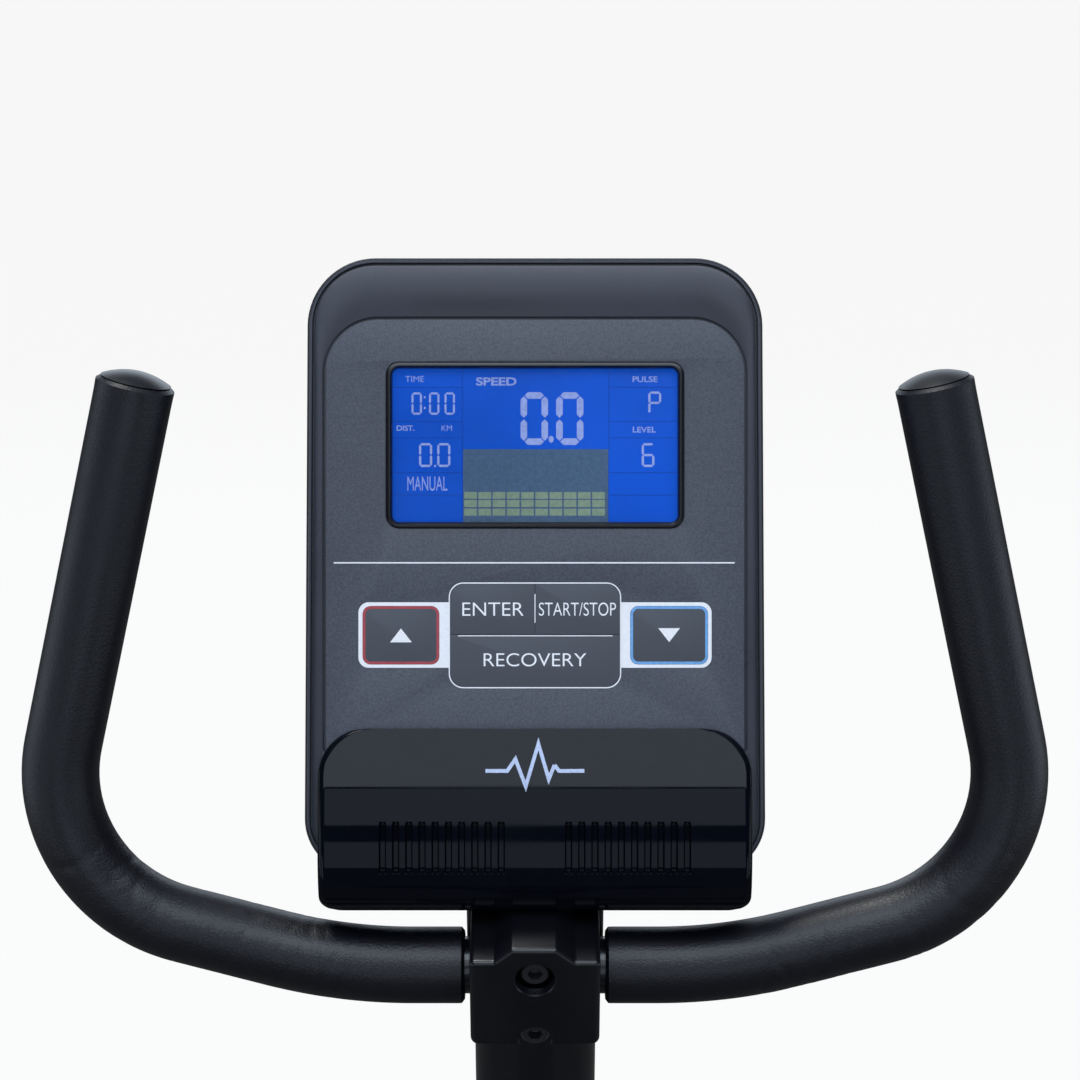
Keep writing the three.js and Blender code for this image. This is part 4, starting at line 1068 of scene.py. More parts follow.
@dataclass(frozen=True)
class Key:
    """A key of the console: its node, its box on the face and its corners' radii."""

    node: str
    box: tuple[float, float, float, float]
    radii: tuple[float, float, float, float]

    @property
    def x(self) -> float:
        """The middle of the key, across the face."""
        return (self.box[0] + self.box[1]) / 2

    def corners(self) -> list[tuple[float, float]]:
        """The key's corners."""
        return rect(*self.box)

    def outline(self, inset: float) -> Array:
        """The key's outline, drawn in by an inset."""
        return rounded(self.corners(), self.radii, 6, inset)


KEYS = (
    Key("key_up", (-0.0755, -0.042, -0.0356, -0.0101), (0.0035,) * 4),
    Key("key_down", (0.0418, 0.0758, -0.0356, -0.0101), (0.0035,) * 4),
    Key("key_enter", (-0.0371, -0.0001, -0.0225, -0.0003), (0.0002, 0.0002, 0.0002, 0.0061)),
    Key("key_start_stop", (0.0001, 0.0371, -0.0225, -0.0003), (0.0002, 0.0002, 0.0061, 0.0002)),
    Key("key_recovery", (-0.0371, 0.0371, -0.0455, -0.0227), (0.0061, 0.0061, 0.0002, 0.0002)),
)

# The strokes of a seven-stroke digit, as (across, up) from its lower left, in widths and heights.
STROKES = {
    "top": ((0, 1), (1, 1)), "top_left": ((0, 0.5), (0, 1)), "top_right": ((1, 0.5), (1, 1)),
    "middle": ((0, 0.5), (1, 0.5)), "low_left": ((0, 0), (0, 0.5)), "low_right": ((1, 0), (1, 0.5)),
    "bottom": ((0, 0), (1, 0)),
}
ZERO = ("top", "top_left", "top_right", "low_left", "low_right", "bottom")
SIX = ("top", "top_left", "middle", "low_left", "low_right", "bottom")
PULSE_P = ("top", "top_left", "top_right", "middle", "low_left")


@dataclass
class Display:
    """What the display shows: ruled cells, digits, words and a bar chart."""

    place: Placement
    level: float = 0.0009
    thick: float = 0.00006
    split_left: float = -0.0319
    split_right: float = 0.0325
    left: float = -0.0626
    right: float = 0.0626
    low: float = 0.0268
    high: float = 0.0942
    chart_top: float = 0.0588

    def plate(self, name: str, outlines: Sequence[Array], finish: Finish,
              lift: float = 0.0) -> None:
        """A flat print on the panel."""
        low = self.level + lift
        piece = flat_piece(name, outlines, low, low + self.thick, 0.0, self.place)
        dress(piece, finish, Body.FRAME)

    def build(self) -> None:
        """Make the rules, the chart, the digits and the words."""
        rule = 0.00013
        lines = []
        for y in (0.0860, 0.0710, 0.0638, 0.0485, 0.0386):
            lines.append(rounded(rect(self.left, self.split_left, y - rule, y + rule), 0.00002, 1))
            lines.append(rounded(rect(self.split_right, self.right, y - rule, y + rule), 0.00002,
                                 1))
        self.plate("display_rules", lines, LCD_LINE)
        uprights = [rounded(rect(x - rule, x + rule, self.low, self.high), 0.00002, 1)
                    for x in (self.split_left, self.split_right)]
        self.plate("display_uprights", uprights, LCD_LINE, self.thick)
        chart = rect(self.split_left + 0.0003, self.split_right - 0.0003, self.low, self.chart_top)
        self.plate("display_chart", [rounded(chart, 0.0001, 1)], LCD_PANEL)
        cells = []
        for column in range(10):
            for y0, y1 in ((0.0296, 0.0327), (0.0334, 0.0365), (0.0370, 0.0400)):
                x = -0.0311 + column * 0.00625
                cells.append(rounded(rect(x, x + 0.00555, y0, y1), 0.0001, 1))
        self.plate("display_cells", cells, LCD_CELL, self.thick)
        big = self.digits("0", (-0.00635, 0.0607), 0.0121, 0.0232, 0.0029)
        big += self.digits("0", (0.0093, 0.0607), 0.0120, 0.0232, 0.0029)
        big.append(circle(0.0011, 20) * (1.0, 1.4) + (0.0071, 0.0632))
        self.plate("display_speed", big, LCD_DIGIT)
        time = []
        for x in (-0.0543, -0.0466, -0.0398):
            time += self.digits("0", (x, 0.0740), 0.0046, 0.0098, 0.0009)
        for y in (0.0765, 0.0812):
            time.append(rounded(rect(-0.04885, -0.0481, y, y + 0.0009), 0.0001, 1))
        for x in (-0.0510, -0.0430):
            time += self.digits("0", (x, 0.0510), 0.0058, 0.0105, 0.0010)
        time.append(rounded(rect(-0.0443, -0.0435, 0.0510, 0.0519), 0.0001, 1))
        time += self.digits("P", (0.0498, 0.0742), 0.0057, 0.0100, 0.0010)
        time += self.digits("6", (0.0469, 0.0510), 0.0056, 0.0105, 0.0010)
        self.plate("display_values", time, LCD_DIGIT)
        for name, text, centre, width, height, bold in (
            ("time", "TIME", (-0.0529, 0.0897), 0.0082, 0.0026, 0.0),
            ("speed", "SPEED", (-0.0170, 0.0886), 0.0178, 0.0037, 0.03),
            ("pulse", "PULSE", (0.0484, 0.0896), 0.0110, 0.0026, 0.018),
            ("dist", "DIST.", (-0.0569, 0.0681), 0.0078, 0.0024, 0.018),
            ("km", "KM", (-0.0388, 0.0681), 0.0046, 0.0024, 0.0),
            ("level", "LEVEL", (0.0481, 0.0674), 0.0102, 0.0025, 0.018),
            ("manual", "MANUAL", (-0.0473, 0.0437), 0.0176, 0.0063, 0.0),
        ):
            piece = words("display_" + name, text, centre, width, height, self.level, self.place,
                          bold)
            dress(piece, LCD_WORD, Body.FRAME)

    @staticmethod
    def digits(mark: str, at: tuple[float, float], width: float, height: float,
               stroke: float) -> list[Array]:
        """A seven-stroke digit: each stroke a six-sided bar with mitred ends.

        Args:
            mark: 0, 6 or P.
            at: The digit's lower left corner.
            width: Its width.
            height: Its height.
            stroke: The strokes' width.

        Returns:
            The strokes' outlines.
        """
        chosen = {"0": ZERO, "6": SIX, "P": PULSE_P}[mark]
        half, gap = stroke / 2, stroke * 0.12
        outlines = []
        for name in chosen:
            (a, b), (c, d) = STROKES[name]
            start = np.array([a * (width - stroke) + half, b * (height - stroke) + half])
            end = np.array([c * (width - stroke) + half, d * (height - stroke) + half])
            along = (end - start) / np.linalg.norm(end - start)
            across = np.array([-along[1], along[0]]) * half
            start, end = start + along * gap, end - along * gap
            bar = np.array([start, start + along * half - across, end - along * half - across, end,
                            end - along * half + across, start + along * half + across])
            outlines.append(bar + np.array(at))
        return outlines


@dataclass
class LowerCover:
    """The glossy pod over the console's lower edge, with two groups of vent slots and an emblem."""

    place: Placement
    half: float = 0.0945
    top: float = -0.0637
    bottom: float = -0.1437
    slots: int = 10
    slot_pitch: float = 0.00572
    slot_start: float = 0.013
    slot_half: float = 0.0016
    slot_top: float = -0.1032
    slot_low: float = -0.1260
    slot_deep: float = 0.0026
    crown_y: tuple[float, ...] = (-0.0637, -0.070, -0.080, -0.091, -0.100, -0.112, -0.124, -0.134,
                                  -0.140, -0.1437)
    crown_z: tuple[float, ...] = (0.0072, 0.0100, 0.0142, 0.0176, 0.0190, 0.0197, 0.0186, 0.0150,
                                  0.0098, 0.0030)

    def crown(self, y: Array) -> Array:
        """The height of the pod's middle line: a smooth curve through the crown's points."""
        order = np.argsort(self.crown_y)
        xs, zs = np.array(self.crown_y)[order], np.array(self.crown_z)[order]
        slope = np.gradient(zs, xs)
        i = np.clip(np.searchsorted(xs, y) - 1, 0, len(xs) - 2)
        step = xs[i + 1] - xs[i]
        t = np.clip((y - xs[i]) / step, 0, 1)
        return ((2 * t**3 - 3 * t**2 + 1) * zs[i] + (t**3 - 2 * t**2 + t) * step * slope[i]
                + (3 * t**2 - 2 * t**3) * zs[i + 1] + (t**3 - t**2) * step * slope[i + 1])

    def half_at(self, y: Array) -> Array:
        """Half of the pod's width: less near the round corners, by each corner's own circle."""
        top_r, low_r = 0.020, 0.007
        above = np.clip(y - (self.top - top_r), 0, top_r)
        below = np.clip((self.bottom + low_r) - y, 0, low_r)
        return (self.half - (top_r - np.sqrt(top_r**2 - above**2))
                - (low_r - np.sqrt(low_r**2 - below**2)))

    def surface(self, x: Array, y: Array) -> Array:
        """The height of the pod's face: the crown, falling to the edge in a quarter circle."""
        edge = 0.0035
        near = np.clip(self.half_at(y) - np.abs(x), 0, edge)
        drop = edge - np.sqrt(edge**2 - (edge - near) ** 2)
        return self.crown(y) - drop

    def slot_depth(self, x: Array, y: Array) -> Array:
        """How deep the vent slots are: the distance inside each rounded slot, made steep."""
        first = self.slot_start + self.slot_half
        place = np.clip(np.round((np.abs(x) - first) / self.slot_pitch), 0, self.slots - 1)
        across = np.abs(np.abs(x) - (first + place * self.slot_pitch))
        beyond = np.maximum(np.maximum(y - (self.slot_top - self.slot_half),
                                       (self.slot_low + self.slot_half) - y), 0)
        inside = self.slot_half - np.hypot(across, beyond)
        return self.slot_deep * np.clip(inside / 0.0006, 0, 1)

    def build(self) -> None:
        """Make the pod and its emblem."""
        first = self.slot_start + self.slot_half
        centres = first + np.arange(self.slots) * self.slot_pitch
        steps = np.array([-1.0, -0.85, -0.6, -0.2, 0.2, 0.6, 0.85, 1.0]) * self.slot_half
        fine = (centres[:, None] + steps).ravel()
        edge = self.half - 0.0035 * (1 - np.sin(np.linspace(0, pi / 2, 9)))
        plain = np.concatenate([np.linspace(0, self.slot_start - 0.001, 6), np.linspace(
            fine[-1] + 0.002, self.half - 0.0045, 12), edge])
        positive = np.unique(np.round(np.concatenate([fine, plain]), 7))
        across = np.concatenate([-positive[::-1], positive[1:]]) / self.half
        ends = np.linspace(0, 0.0022, 7)
        down = np.unique(np.round(np.concatenate([
            np.linspace(self.bottom, self.bottom + 0.007, 9),
            np.linspace(self.bottom, self.top, 56),
            self.slot_top - ends, self.slot_low + ends, self.top - np.linspace(0, 0.004, 7)]), 7))
        y, t = np.meshgrid(down, across, indexing="ij")
        x = t * self.half_at(y)
        z = self.surface(x, y) - self.slot_depth(x, y)
        base = np.where(y < -0.1285, -0.034, 0.0046)
        front = np.stack([x, y, z], -1)
        rear = np.stack([x, y, np.minimum(base, z)], -1)
        loops = np.concatenate([front, rear[:, ::-1]], 1)
        piece = loft("lower_cover", self.place.world(loops), sharp=40.0)
        dress(piece, GLOSS, Body.FRAME, "console_lower_cover")
        self.emblem()

    def emblem(self) -> None:
        """A plain pulse line of one pale colour, laid on the pod's face."""
        run = np.array([(-0.0215, -0.0815), (-0.0120, -0.0815), (-0.0085, -0.0765),
                        (-0.0040, -0.0880),
                        (0.0015, -0.0700), (0.0060, -0.0850), (0.0085, -0.0790)])
        tail = np.array([(0.0085, -0.0790), (0.0105, -0.0815), (0.0215, -0.0815)])
        for name, points in (("emblem_line", run), ("emblem_tail", tail)):
            dress(self.ribbon(name, points, 0.0008), PALE_INK, Body.FRAME)

    def ribbon(self, name: str, points: Array, half: float) -> bpy.types.Object:
        """A flat line of print along points, laid on the pod's face.

        Args:
            name: The piece's name.
            points: The line's corners, on the face.
            half: Half of its width.

        Returns:
            The new object.
        """
        along = np.diff(points, axis=0)
        along /= np.linalg.norm(along, axis=1, keepdims=True)
        first, last = along[[0]], along[[-1]]
        mean = np.concatenate([first, along[1:] + along[:-1], last])
        mean /= np.linalg.norm(mean, axis=1, keepdims=True)
        normal = np.column_stack([-mean[:, 1], mean[:, 0]])
        stretch = 1 / np.maximum((mean * np.concatenate([first, along])).sum(1), 0.3)
        offset = normal * (half * stretch)[:, None]
        steps = np.linspace(0, len(points) - 1, (len(points) - 1) * 12 + 1)
        index = np.arange(len(points))

        def at(line: Array, lift: float) -> Array:
            """The line at every step, on the face and lifted off it."""
            x, y = (np.interp(steps, index, line[:, k]) for k in (0, 1))
            return np.stack([x, y, self.surface(x, y) + lift], -1)

        a, b = points - offset, points + offset
        loops = np.stack([at(a, -0.0001), at(b, -0.0001), at(b, 0.00008), at(a, 0.00008)], 1)
        return loft(name, self.place.world(loops))


# ---------------------------------------------------------------- handlebar and clamp
@dataclass
class Handlebar:
    """The bent tube, its foam grips and their end caps. The path is in the console's frame."""

    place: Placement
    middle: tuple[float, float]
    radius: float = 0.0127
    grip: float = 0.017
    grip_start: float = 0.0313
    outer: tuple[tuple[float, float, float], ...] = ((0.2227, -0.1353, -0.015),
                                                     (0.1714, 0.0869, 0.030))
    bends: tuple[float, float] = (0.240, 0.070)

    def corners(self, start: float) -> Array:
        """The corners of the right half of the path, from a point across the middle."""
        y, z = self.middle
        return np.array([(start, y, z), (0.0859, y, z), *self.outer])

    def path(self, start: float, steps: int = 170) -> Array:
        """The right half of the path: lines joined by arcs, at even distances.

        Each arc touches the lines before and after its corner, so it starts before the corner by
        the radius times the tangent of half the turn.
        """
        points = self.corners(start)
        run = [points[:1]]
        for i, radius in enumerate(self.bends):
            corner = points[i + 1]
            into = (corner - points[i]) / np.linalg.norm(corner - points[i])
            away = (points[i + 2] - corner) / np.linalg.norm(points[i + 2] - corner)
            turn = np.arccos(np.clip(into @ away, -1, 1))
            axis = np.cross(into, away) / np.linalg.norm(np.cross(into, away))
            first = corner - into * radius * np.tan(turn / 2)
            spoke = np.cross(into, axis) * radius
            angle = np.linspace(0, turn, 28)[:, None]
            turned = np.sin(angle) * np.cross(axis, spoke)
            run.append(first - spoke + np.cos(angle) * spoke + turned)
        run.append(points[-1:])
        return even(np.concatenate(run), steps)

    def build(self) -> None:
        """Make the tube, the grips and the caps."""
        half = self.path(0.0)
        whole = np.concatenate([(half * (-1, 1, 1))[:0:-1], half])
        outer = self.tube(whole, np.full(len(whole), self.radius), 32)
        inner = self.tube(whole, np.full(len(whole), self.radius - 0.002), 32)
        piece = loft("handlebar_tube", np.concatenate([outer, inner[::-1]]), closed=True)
        dress(piece, BAR_PAINT, Body.HANDLEBAR, "handlebar")
        for side in Side:
            self.sleeve(side)
            self.cap(side)

    def tube(self, path: Array, radius: Array, sides: int) -> Array:
        """Circles round the path, in the row frame. The radius may vary along it and round it."""
        world = self.place.world(path)
        first, second = path_frames(world, self.place.axes()[2])
        turn = np.linspace(0, 2 * pi, sides, endpoint=False)[None, :, None]
        ring = np.cos(turn) * first[:, None] + np.sin(turn) * second[:, None]
        size = radius[:, None] if radius.ndim == 1 else radius
        return world[:, None] + ring * size[..., None]

    def sleeve(self, side: Side) -> None:
        """A foam sleeve: round ends, a slightly flared mouth, and soft wrinkles at the lower bend.

        Each wrinkle is a narrow trough across the sleeve, deepest on the inside of the bend.
        """
        sides = 72
        path = self.path(self.grip_start, 300)
        length = np.linalg.norm(np.diff(path, axis=0), axis=1).sum()
        s = np.linspace(0, length, len(path))
        turn = np.linspace(0, 2 * pi, sides, endpoint=False)
        edge = 0.0018
        ends = np.clip(np.minimum(s, length - s), 0, edge)
        radius = self.grip - (edge - np.sqrt(edge**2 - (edge - ends) ** 2))
        radius = radius + 0.0002 * np.exp(-(((length - s) / 0.004) ** 2))
        radius = np.repeat(radius[:, None], sides, 1)
        rng = np.random.default_rng(7 + side.value)
        for at in rng.uniform(0.05, 0.19, 26):
            facing = rng.uniform(-0.3, 1.1)
            swing = 0.004 * np.sin(2 * turn + rng.uniform(0, 6))
            trough = np.exp(-(((s[:, None] - at - swing) / rng.uniform(0.0009, 0.0022)) ** 2))
            share = np.clip(np.cos(turn - facing), 0, 1) ** 1.5
            radius -= rng.uniform(0.00008, 0.00022) * trough * share
        path = path * (side.value, 1, 1)
        outer = self.tube(path, radius, sides)
        inner = self.tube(path, np.full(len(path), self.radius + 0.0003), sides)
        piece = loft("grip_foam_" + side.label, np.concatenate([outer, inner[::-1]]), closed=True)
        dress(piece, FOAM, Body.HANDLEBAR, "grip_" + side.label)

    def cap(self, side: Side) -> None:
        """A domed cap in the end of the tube, with a rolled edge."""
        path = self.path(self.grip_start, 300)
        tip = self.place.world(path[-1] * (side.value, 1, 1))
        before = self.place.world(path[-3] * (side.value, 1, 1))
        along = (tip - before) / np.linalg.norm(tip - before)
        turn = np.linspace(0, pi / 2, 9)
        radius = 0.0153 * np.cos(turn)
        dome = np.column_stack([0.0006 + 0.0040 * (1 - (radius / 0.0153) ** 2), radius])
        profile = np.array([(0.0001, 0.0), (0.0001, 0.0149), *dome])
        first, second = path_frames(np.array([before, tip]), self.place.axes()[2])
        ring = circle(1.0, 48)
        across = ring[:, :1] * first[0] + ring[:, 1:] * second[0]
        points = tip + profile[:, :1, None] * along + profile[:, 1:, None] * across
        piece = mesh_piece("grip_end_" + side.label, points,
                           grid_faces(len(profile), 48, False, True))
        dress(piece, PLASTIC, Body.HANDLEBAR, "grip_cap_" + side.label)


def even(points: Array, steps: int) -> Array:
    """The same path at even distances along it."""
    run = np.concatenate([[0], np.cumsum(np.linalg.norm(np.diff(points, axis=0), axis=1))])
    at = np.linspace(0, run[-1], steps)
    return np.column_stack([np.interp(at, run, points[:, k]) for k in range(3)])


@dataclass
class Clamp:
    """The clamp on the bar: its blocks, its cover and its two bolts. y runs up the post."""

    place: Placement
    bolt: float = 0.0175
    face: float = 0.030
    half: float = 0.0285

    def build(self) -> None:
        """Make the cover and the bolts."""
        self.cover()
        for label, side in (("upper", 1), ("lower", -1)):
            self.socket_bolt(label, side * self.bolt)

    def cover(self) -> None:
        """The moulded cover: a raised middle on top, bevelled edges and a recess for each bolt."""
        h = self.half
        corners = [(-h, -0.021), (h, -0.021), (h, 0.0275), (0.0175, 0.0275), (0.0092, 0.0345),
                   (-0.0100, 0.0345), (-0.0178, 0.0275), (-h, 0.0275)]
        radii = (0.004, 0.004, 0.0025, 0.002, 0.002, 0.002, 0.002, 0.0025)
        body = slab("clamp_cover_body", corners, radii, -0.0078, self.face, (0.0008, 0.0022),
                    self.place, steps=6, edge_steps=6)
        bar = lathe("bar_cut", [(-0.05, 0), (-0.05, 0.0142), (0.05, 0.0142), (0.05, 0)], (0, 0, 0),
                    "x", 48, self.place)
        room = slab("room_cut", rect(-h + 0.0025, h - 0.0025, -0.04, 0.0255), 0.002, -0.02, 0.0265,
                    0.0005, self.place)
        upper = lathe("upper_cut", [(0.015, 0), (0.015, 0.0078), (0.0262, 0.0078), (0.0296, 0.0088),
                                    (0.031, 0.0105), (0.035, 0.0105), (0.035, 0)],
                      (0, self.bolt, 0),
                      "z", 48, self.place)
        lower = lathe("lower_cut", [(0.015, 0), (0.015, 0.0070), (0.0285, 0.0070), (0.031, 0.0080),
                                    (0.035, 0.0080), (0.035, 0)], (0, -self.bolt, 0), "z", 48,
                      self.place)
        piece = carve(body, room, bar, upper, lower)
        piece.name = "clamp_cover_shell"
        dress(piece, POLISHED, Body.FRAME, "clamp_cover")

    def socket_bolt(self, label: str, y: float) -> None:
        """A socket-head bolt: a shank, a round head with a chamfer, and a six-sided socket."""
        head = [(-0.015, 0.0), (-0.015, 0.004), (0.0183, 0.004), (0.0183, 0.0063), (0.0252, 0.0063),
                (0.0260, 0.0056), (0.0260, 0.0)]
        bolt = lathe("bolt", head, (0, y, 0), "z", 48, self.place)
        hexagon = [(0.0034 * cos(k * pi / 3), y + 0.0034 * sin(k * pi / 3)) for k in range(6)]
        tool = slab("socket", hexagon, 0.0002, 0.0212, 0.028, 0.0001, self.place, steps=2)
        piece = carve(bolt, tool)
        piece.name = f"clamp_bolt_{label}_head"
        dress(piece, BOLT, Body.FRAME, "clamp_bolt_" + label)


# ---------------------------------------------------------------- shapes for the rest
def plate(name: str, outline: Callable[[float], Array], low: float, high: float,
          edge: float | tuple[float, float] = 0.001, place: Placement = ROW, axis: str = "z",
          edge_steps: int = 4) -> bpy.types.Object:
    """A plate of any outline, with rounded edges.

    Args:
        name: The piece's name.
        outline: Gives the outline's points for an inset.
        low: Where its lower face is, along the axis.
        high: Where its upper face is, along the axis.
        edge: The radius of its edges, or of its lower and its upper ones.
        place: The frame that it is in.
        axis: z for an outline in x and y, x for y and z, or y for x and z.
        edge_steps: Steps round each edge.

    Returns:
        The new object.
    """
    lower, upper = edge if isinstance(edge, tuple) else (edge, edge)
    rings = Edge(lower, edge_steps).rise(low) + Edge(upper, edge_steps).fall(high)
    loops = np.array([raised(outline(inset), height) for inset, height in rings])
    order = {"z": [0, 1, 2], "x": [2, 0, 1], "y": [0, 2, 1]}[axis]
    return loft(name, place.world(loops[..., order]))


def bar_outline(start: Sequence[float], first: float, end: Sequence[float],
                last: float) -> Callable[[float], Array]:
    """The outline round two circles and the lines that touch both of them.

    Each touching line leaves its circles at acos((first - last) / distance) from the centre line.
    """
    a, b = np.array(start, float), np.array(end, float)
    away = np.arctan2(*(b - a)[::-1])
    lean = np.arccos((first - last) / np.linalg.norm(b - a))

    def outline(inset: float) -> Array:
        """The outline, drawn in by an inset."""
        far = np.linspace(away + lean, away - lean + 2 * pi, 28)
        near = np.linspace(away - lean, away + lean, 22)
        ends = [centre + (radius - inset) * np.column_stack([np.cos(turn), np.sin(turn)])
                for centre, radius, turn in ((a, first, far), (b, last, near))]
        return np.concatenate(ends)

    return outline


def rod(radius: float, low: float, high: float, edge: float = 0.0006) -> list[tuple[float, float]]:
    """A round bar's profile, from pole to pole, with rounded rims."""
    turn = np.linspace(0, pi / 2, 4)
    rise = [(low + edge * (1 - cos(t)), radius - edge * (1 - sin(t))) for t in turn]
    fall = [(high - edge * (1 - cos(t)), radius - edge * (1 - sin(t))) for t in turn[::-1]]
    return [(low, 0.0), *rise, *fall, (high, 0.0)]


def pipe(outer: float, inner: float, low: float, high: float,
         edge: float = 0.0005) -> list[tuple[float, float]]:
    """A tube's profile, closed on itself, with chamfered rims."""
    return [(low, inner + edge), (low, outer - edge), (low + edge, outer), (high - edge, outer),
            (high, outer - edge), (high, inner + edge), (high - edge, inner), (low + edge, inner)]


def mirrored(side: Side, *values: float) -> list[float]:
    """Distances from the centre line as places along X on a side, in rising order."""
    return sorted(side.value * value for value in values)


def screw(name: str, at: Sequence[float], axis: str, out: int, radius: float = 0.0042,
          place: Placement = ROW) -> bpy.types.Object:
    """A round-headed screw, with a cross cut into its head.

    Args:
        name: The piece's name.
        at: The middle of its underside.
        axis: The axis that it stands on.
        out: 1 if its head points up the axis, or -1.
        radius: The head's radius.
        place: The frame that it is in.

    Returns:
        The new object.
    """
    turn = np.linspace(0, pi / 2, 6)
    dome = [(out * 0.55 * radius * sin(t) ** 0.8, radius * cos(t)) for t in turn[:-1]]
    head = lathe(name, [(-out * 0.004, 0.0), (-out * 0.004, radius * 0.5), (0, radius * 0.5), *dome,
                        (out * 0.55 * radius, 0.0)], at, axis, 24, place)
    arm, wide = radius * 0.62, radius * 0.13
    deep, top = out * radius * 0.22, out * radius
    low, high = min(deep, top), max(deep, top)
    tools = []
    for a, b in ((arm, wide), (wide, arm)):
        tool = plate("cross", lambda inset, a=a, b=b: rounded(rect(-a, a, -b, b), 0.0001, 1, inset),
                     low, high, 0.00003, ROW, axis, 1)
        points = np.empty(len(tool.data.vertices) * 3)
        tool.data.vertices.foreach_get("co", points)
        tool.data.vertices.foreach_set("co",
                                       place.world(points.reshape(-1, 3) + np.array(at)).ravel())
        tools.append(tool)
    return carve(head, *tools)


def catmull(points: Sequence, per_span: int, closed: bool = True) -> Array:
    """A centripetal Catmull-Rom curve through points.

    The knots are the square roots of the distances. Each span is a cubic whose end slopes are the
    weighted means of the chords on either side.

    Args:
        points: The points that it passes through.
        per_span: Steps from each point to the next.
        closed: Whether it returns to its start.

    Returns:
        The curve's points.
    """
    p = np.asarray(points, float)
    if closed:
        p0, p1, p2, p3 = np.roll(p, 1, 0), p, np.roll(p, -1, 0), np.roll(p, -2, 0)
    else:
        ext = np.concatenate([[2 * p[0] - p[1]], p, [2 * p[-1] - p[-2]]])
        p0, p1, p2, p3 = ext[:-3], ext[1:-2], ext[2:-1], ext[3:]
    d0, d1, d2 = (np.sqrt(np.linalg.norm(b - a, axis=1, keepdims=True))
                  for a, b in ((p0, p1), (p1, p2), (p2, p3)))
    m1 = ((p1 - p0) / d0 - (p2 - p0) / (d0 + d1) + (p2 - p1) / d1) * d1
    m2 = ((p2 - p1) / d1 - (p3 - p1) / (d1 + d2) + (p3 - p2) / d2) * d1
    t = (np.arange(per_span) / per_span)[None, :, None]
    spans = ((2 * t**3 - 3 * t**2 + 1) * p1[:, None] + (t**3 - 2 * t**2 + t) * m1[:, None]
             + (3 * t**2 - 2 * t**3) * p2[:, None] + (t**3 - t**2) * m2[:, None])
    curve = spans.reshape(-1, p.shape[1])
    return curve if closed else np.concatenate([curve, p[-1:]])


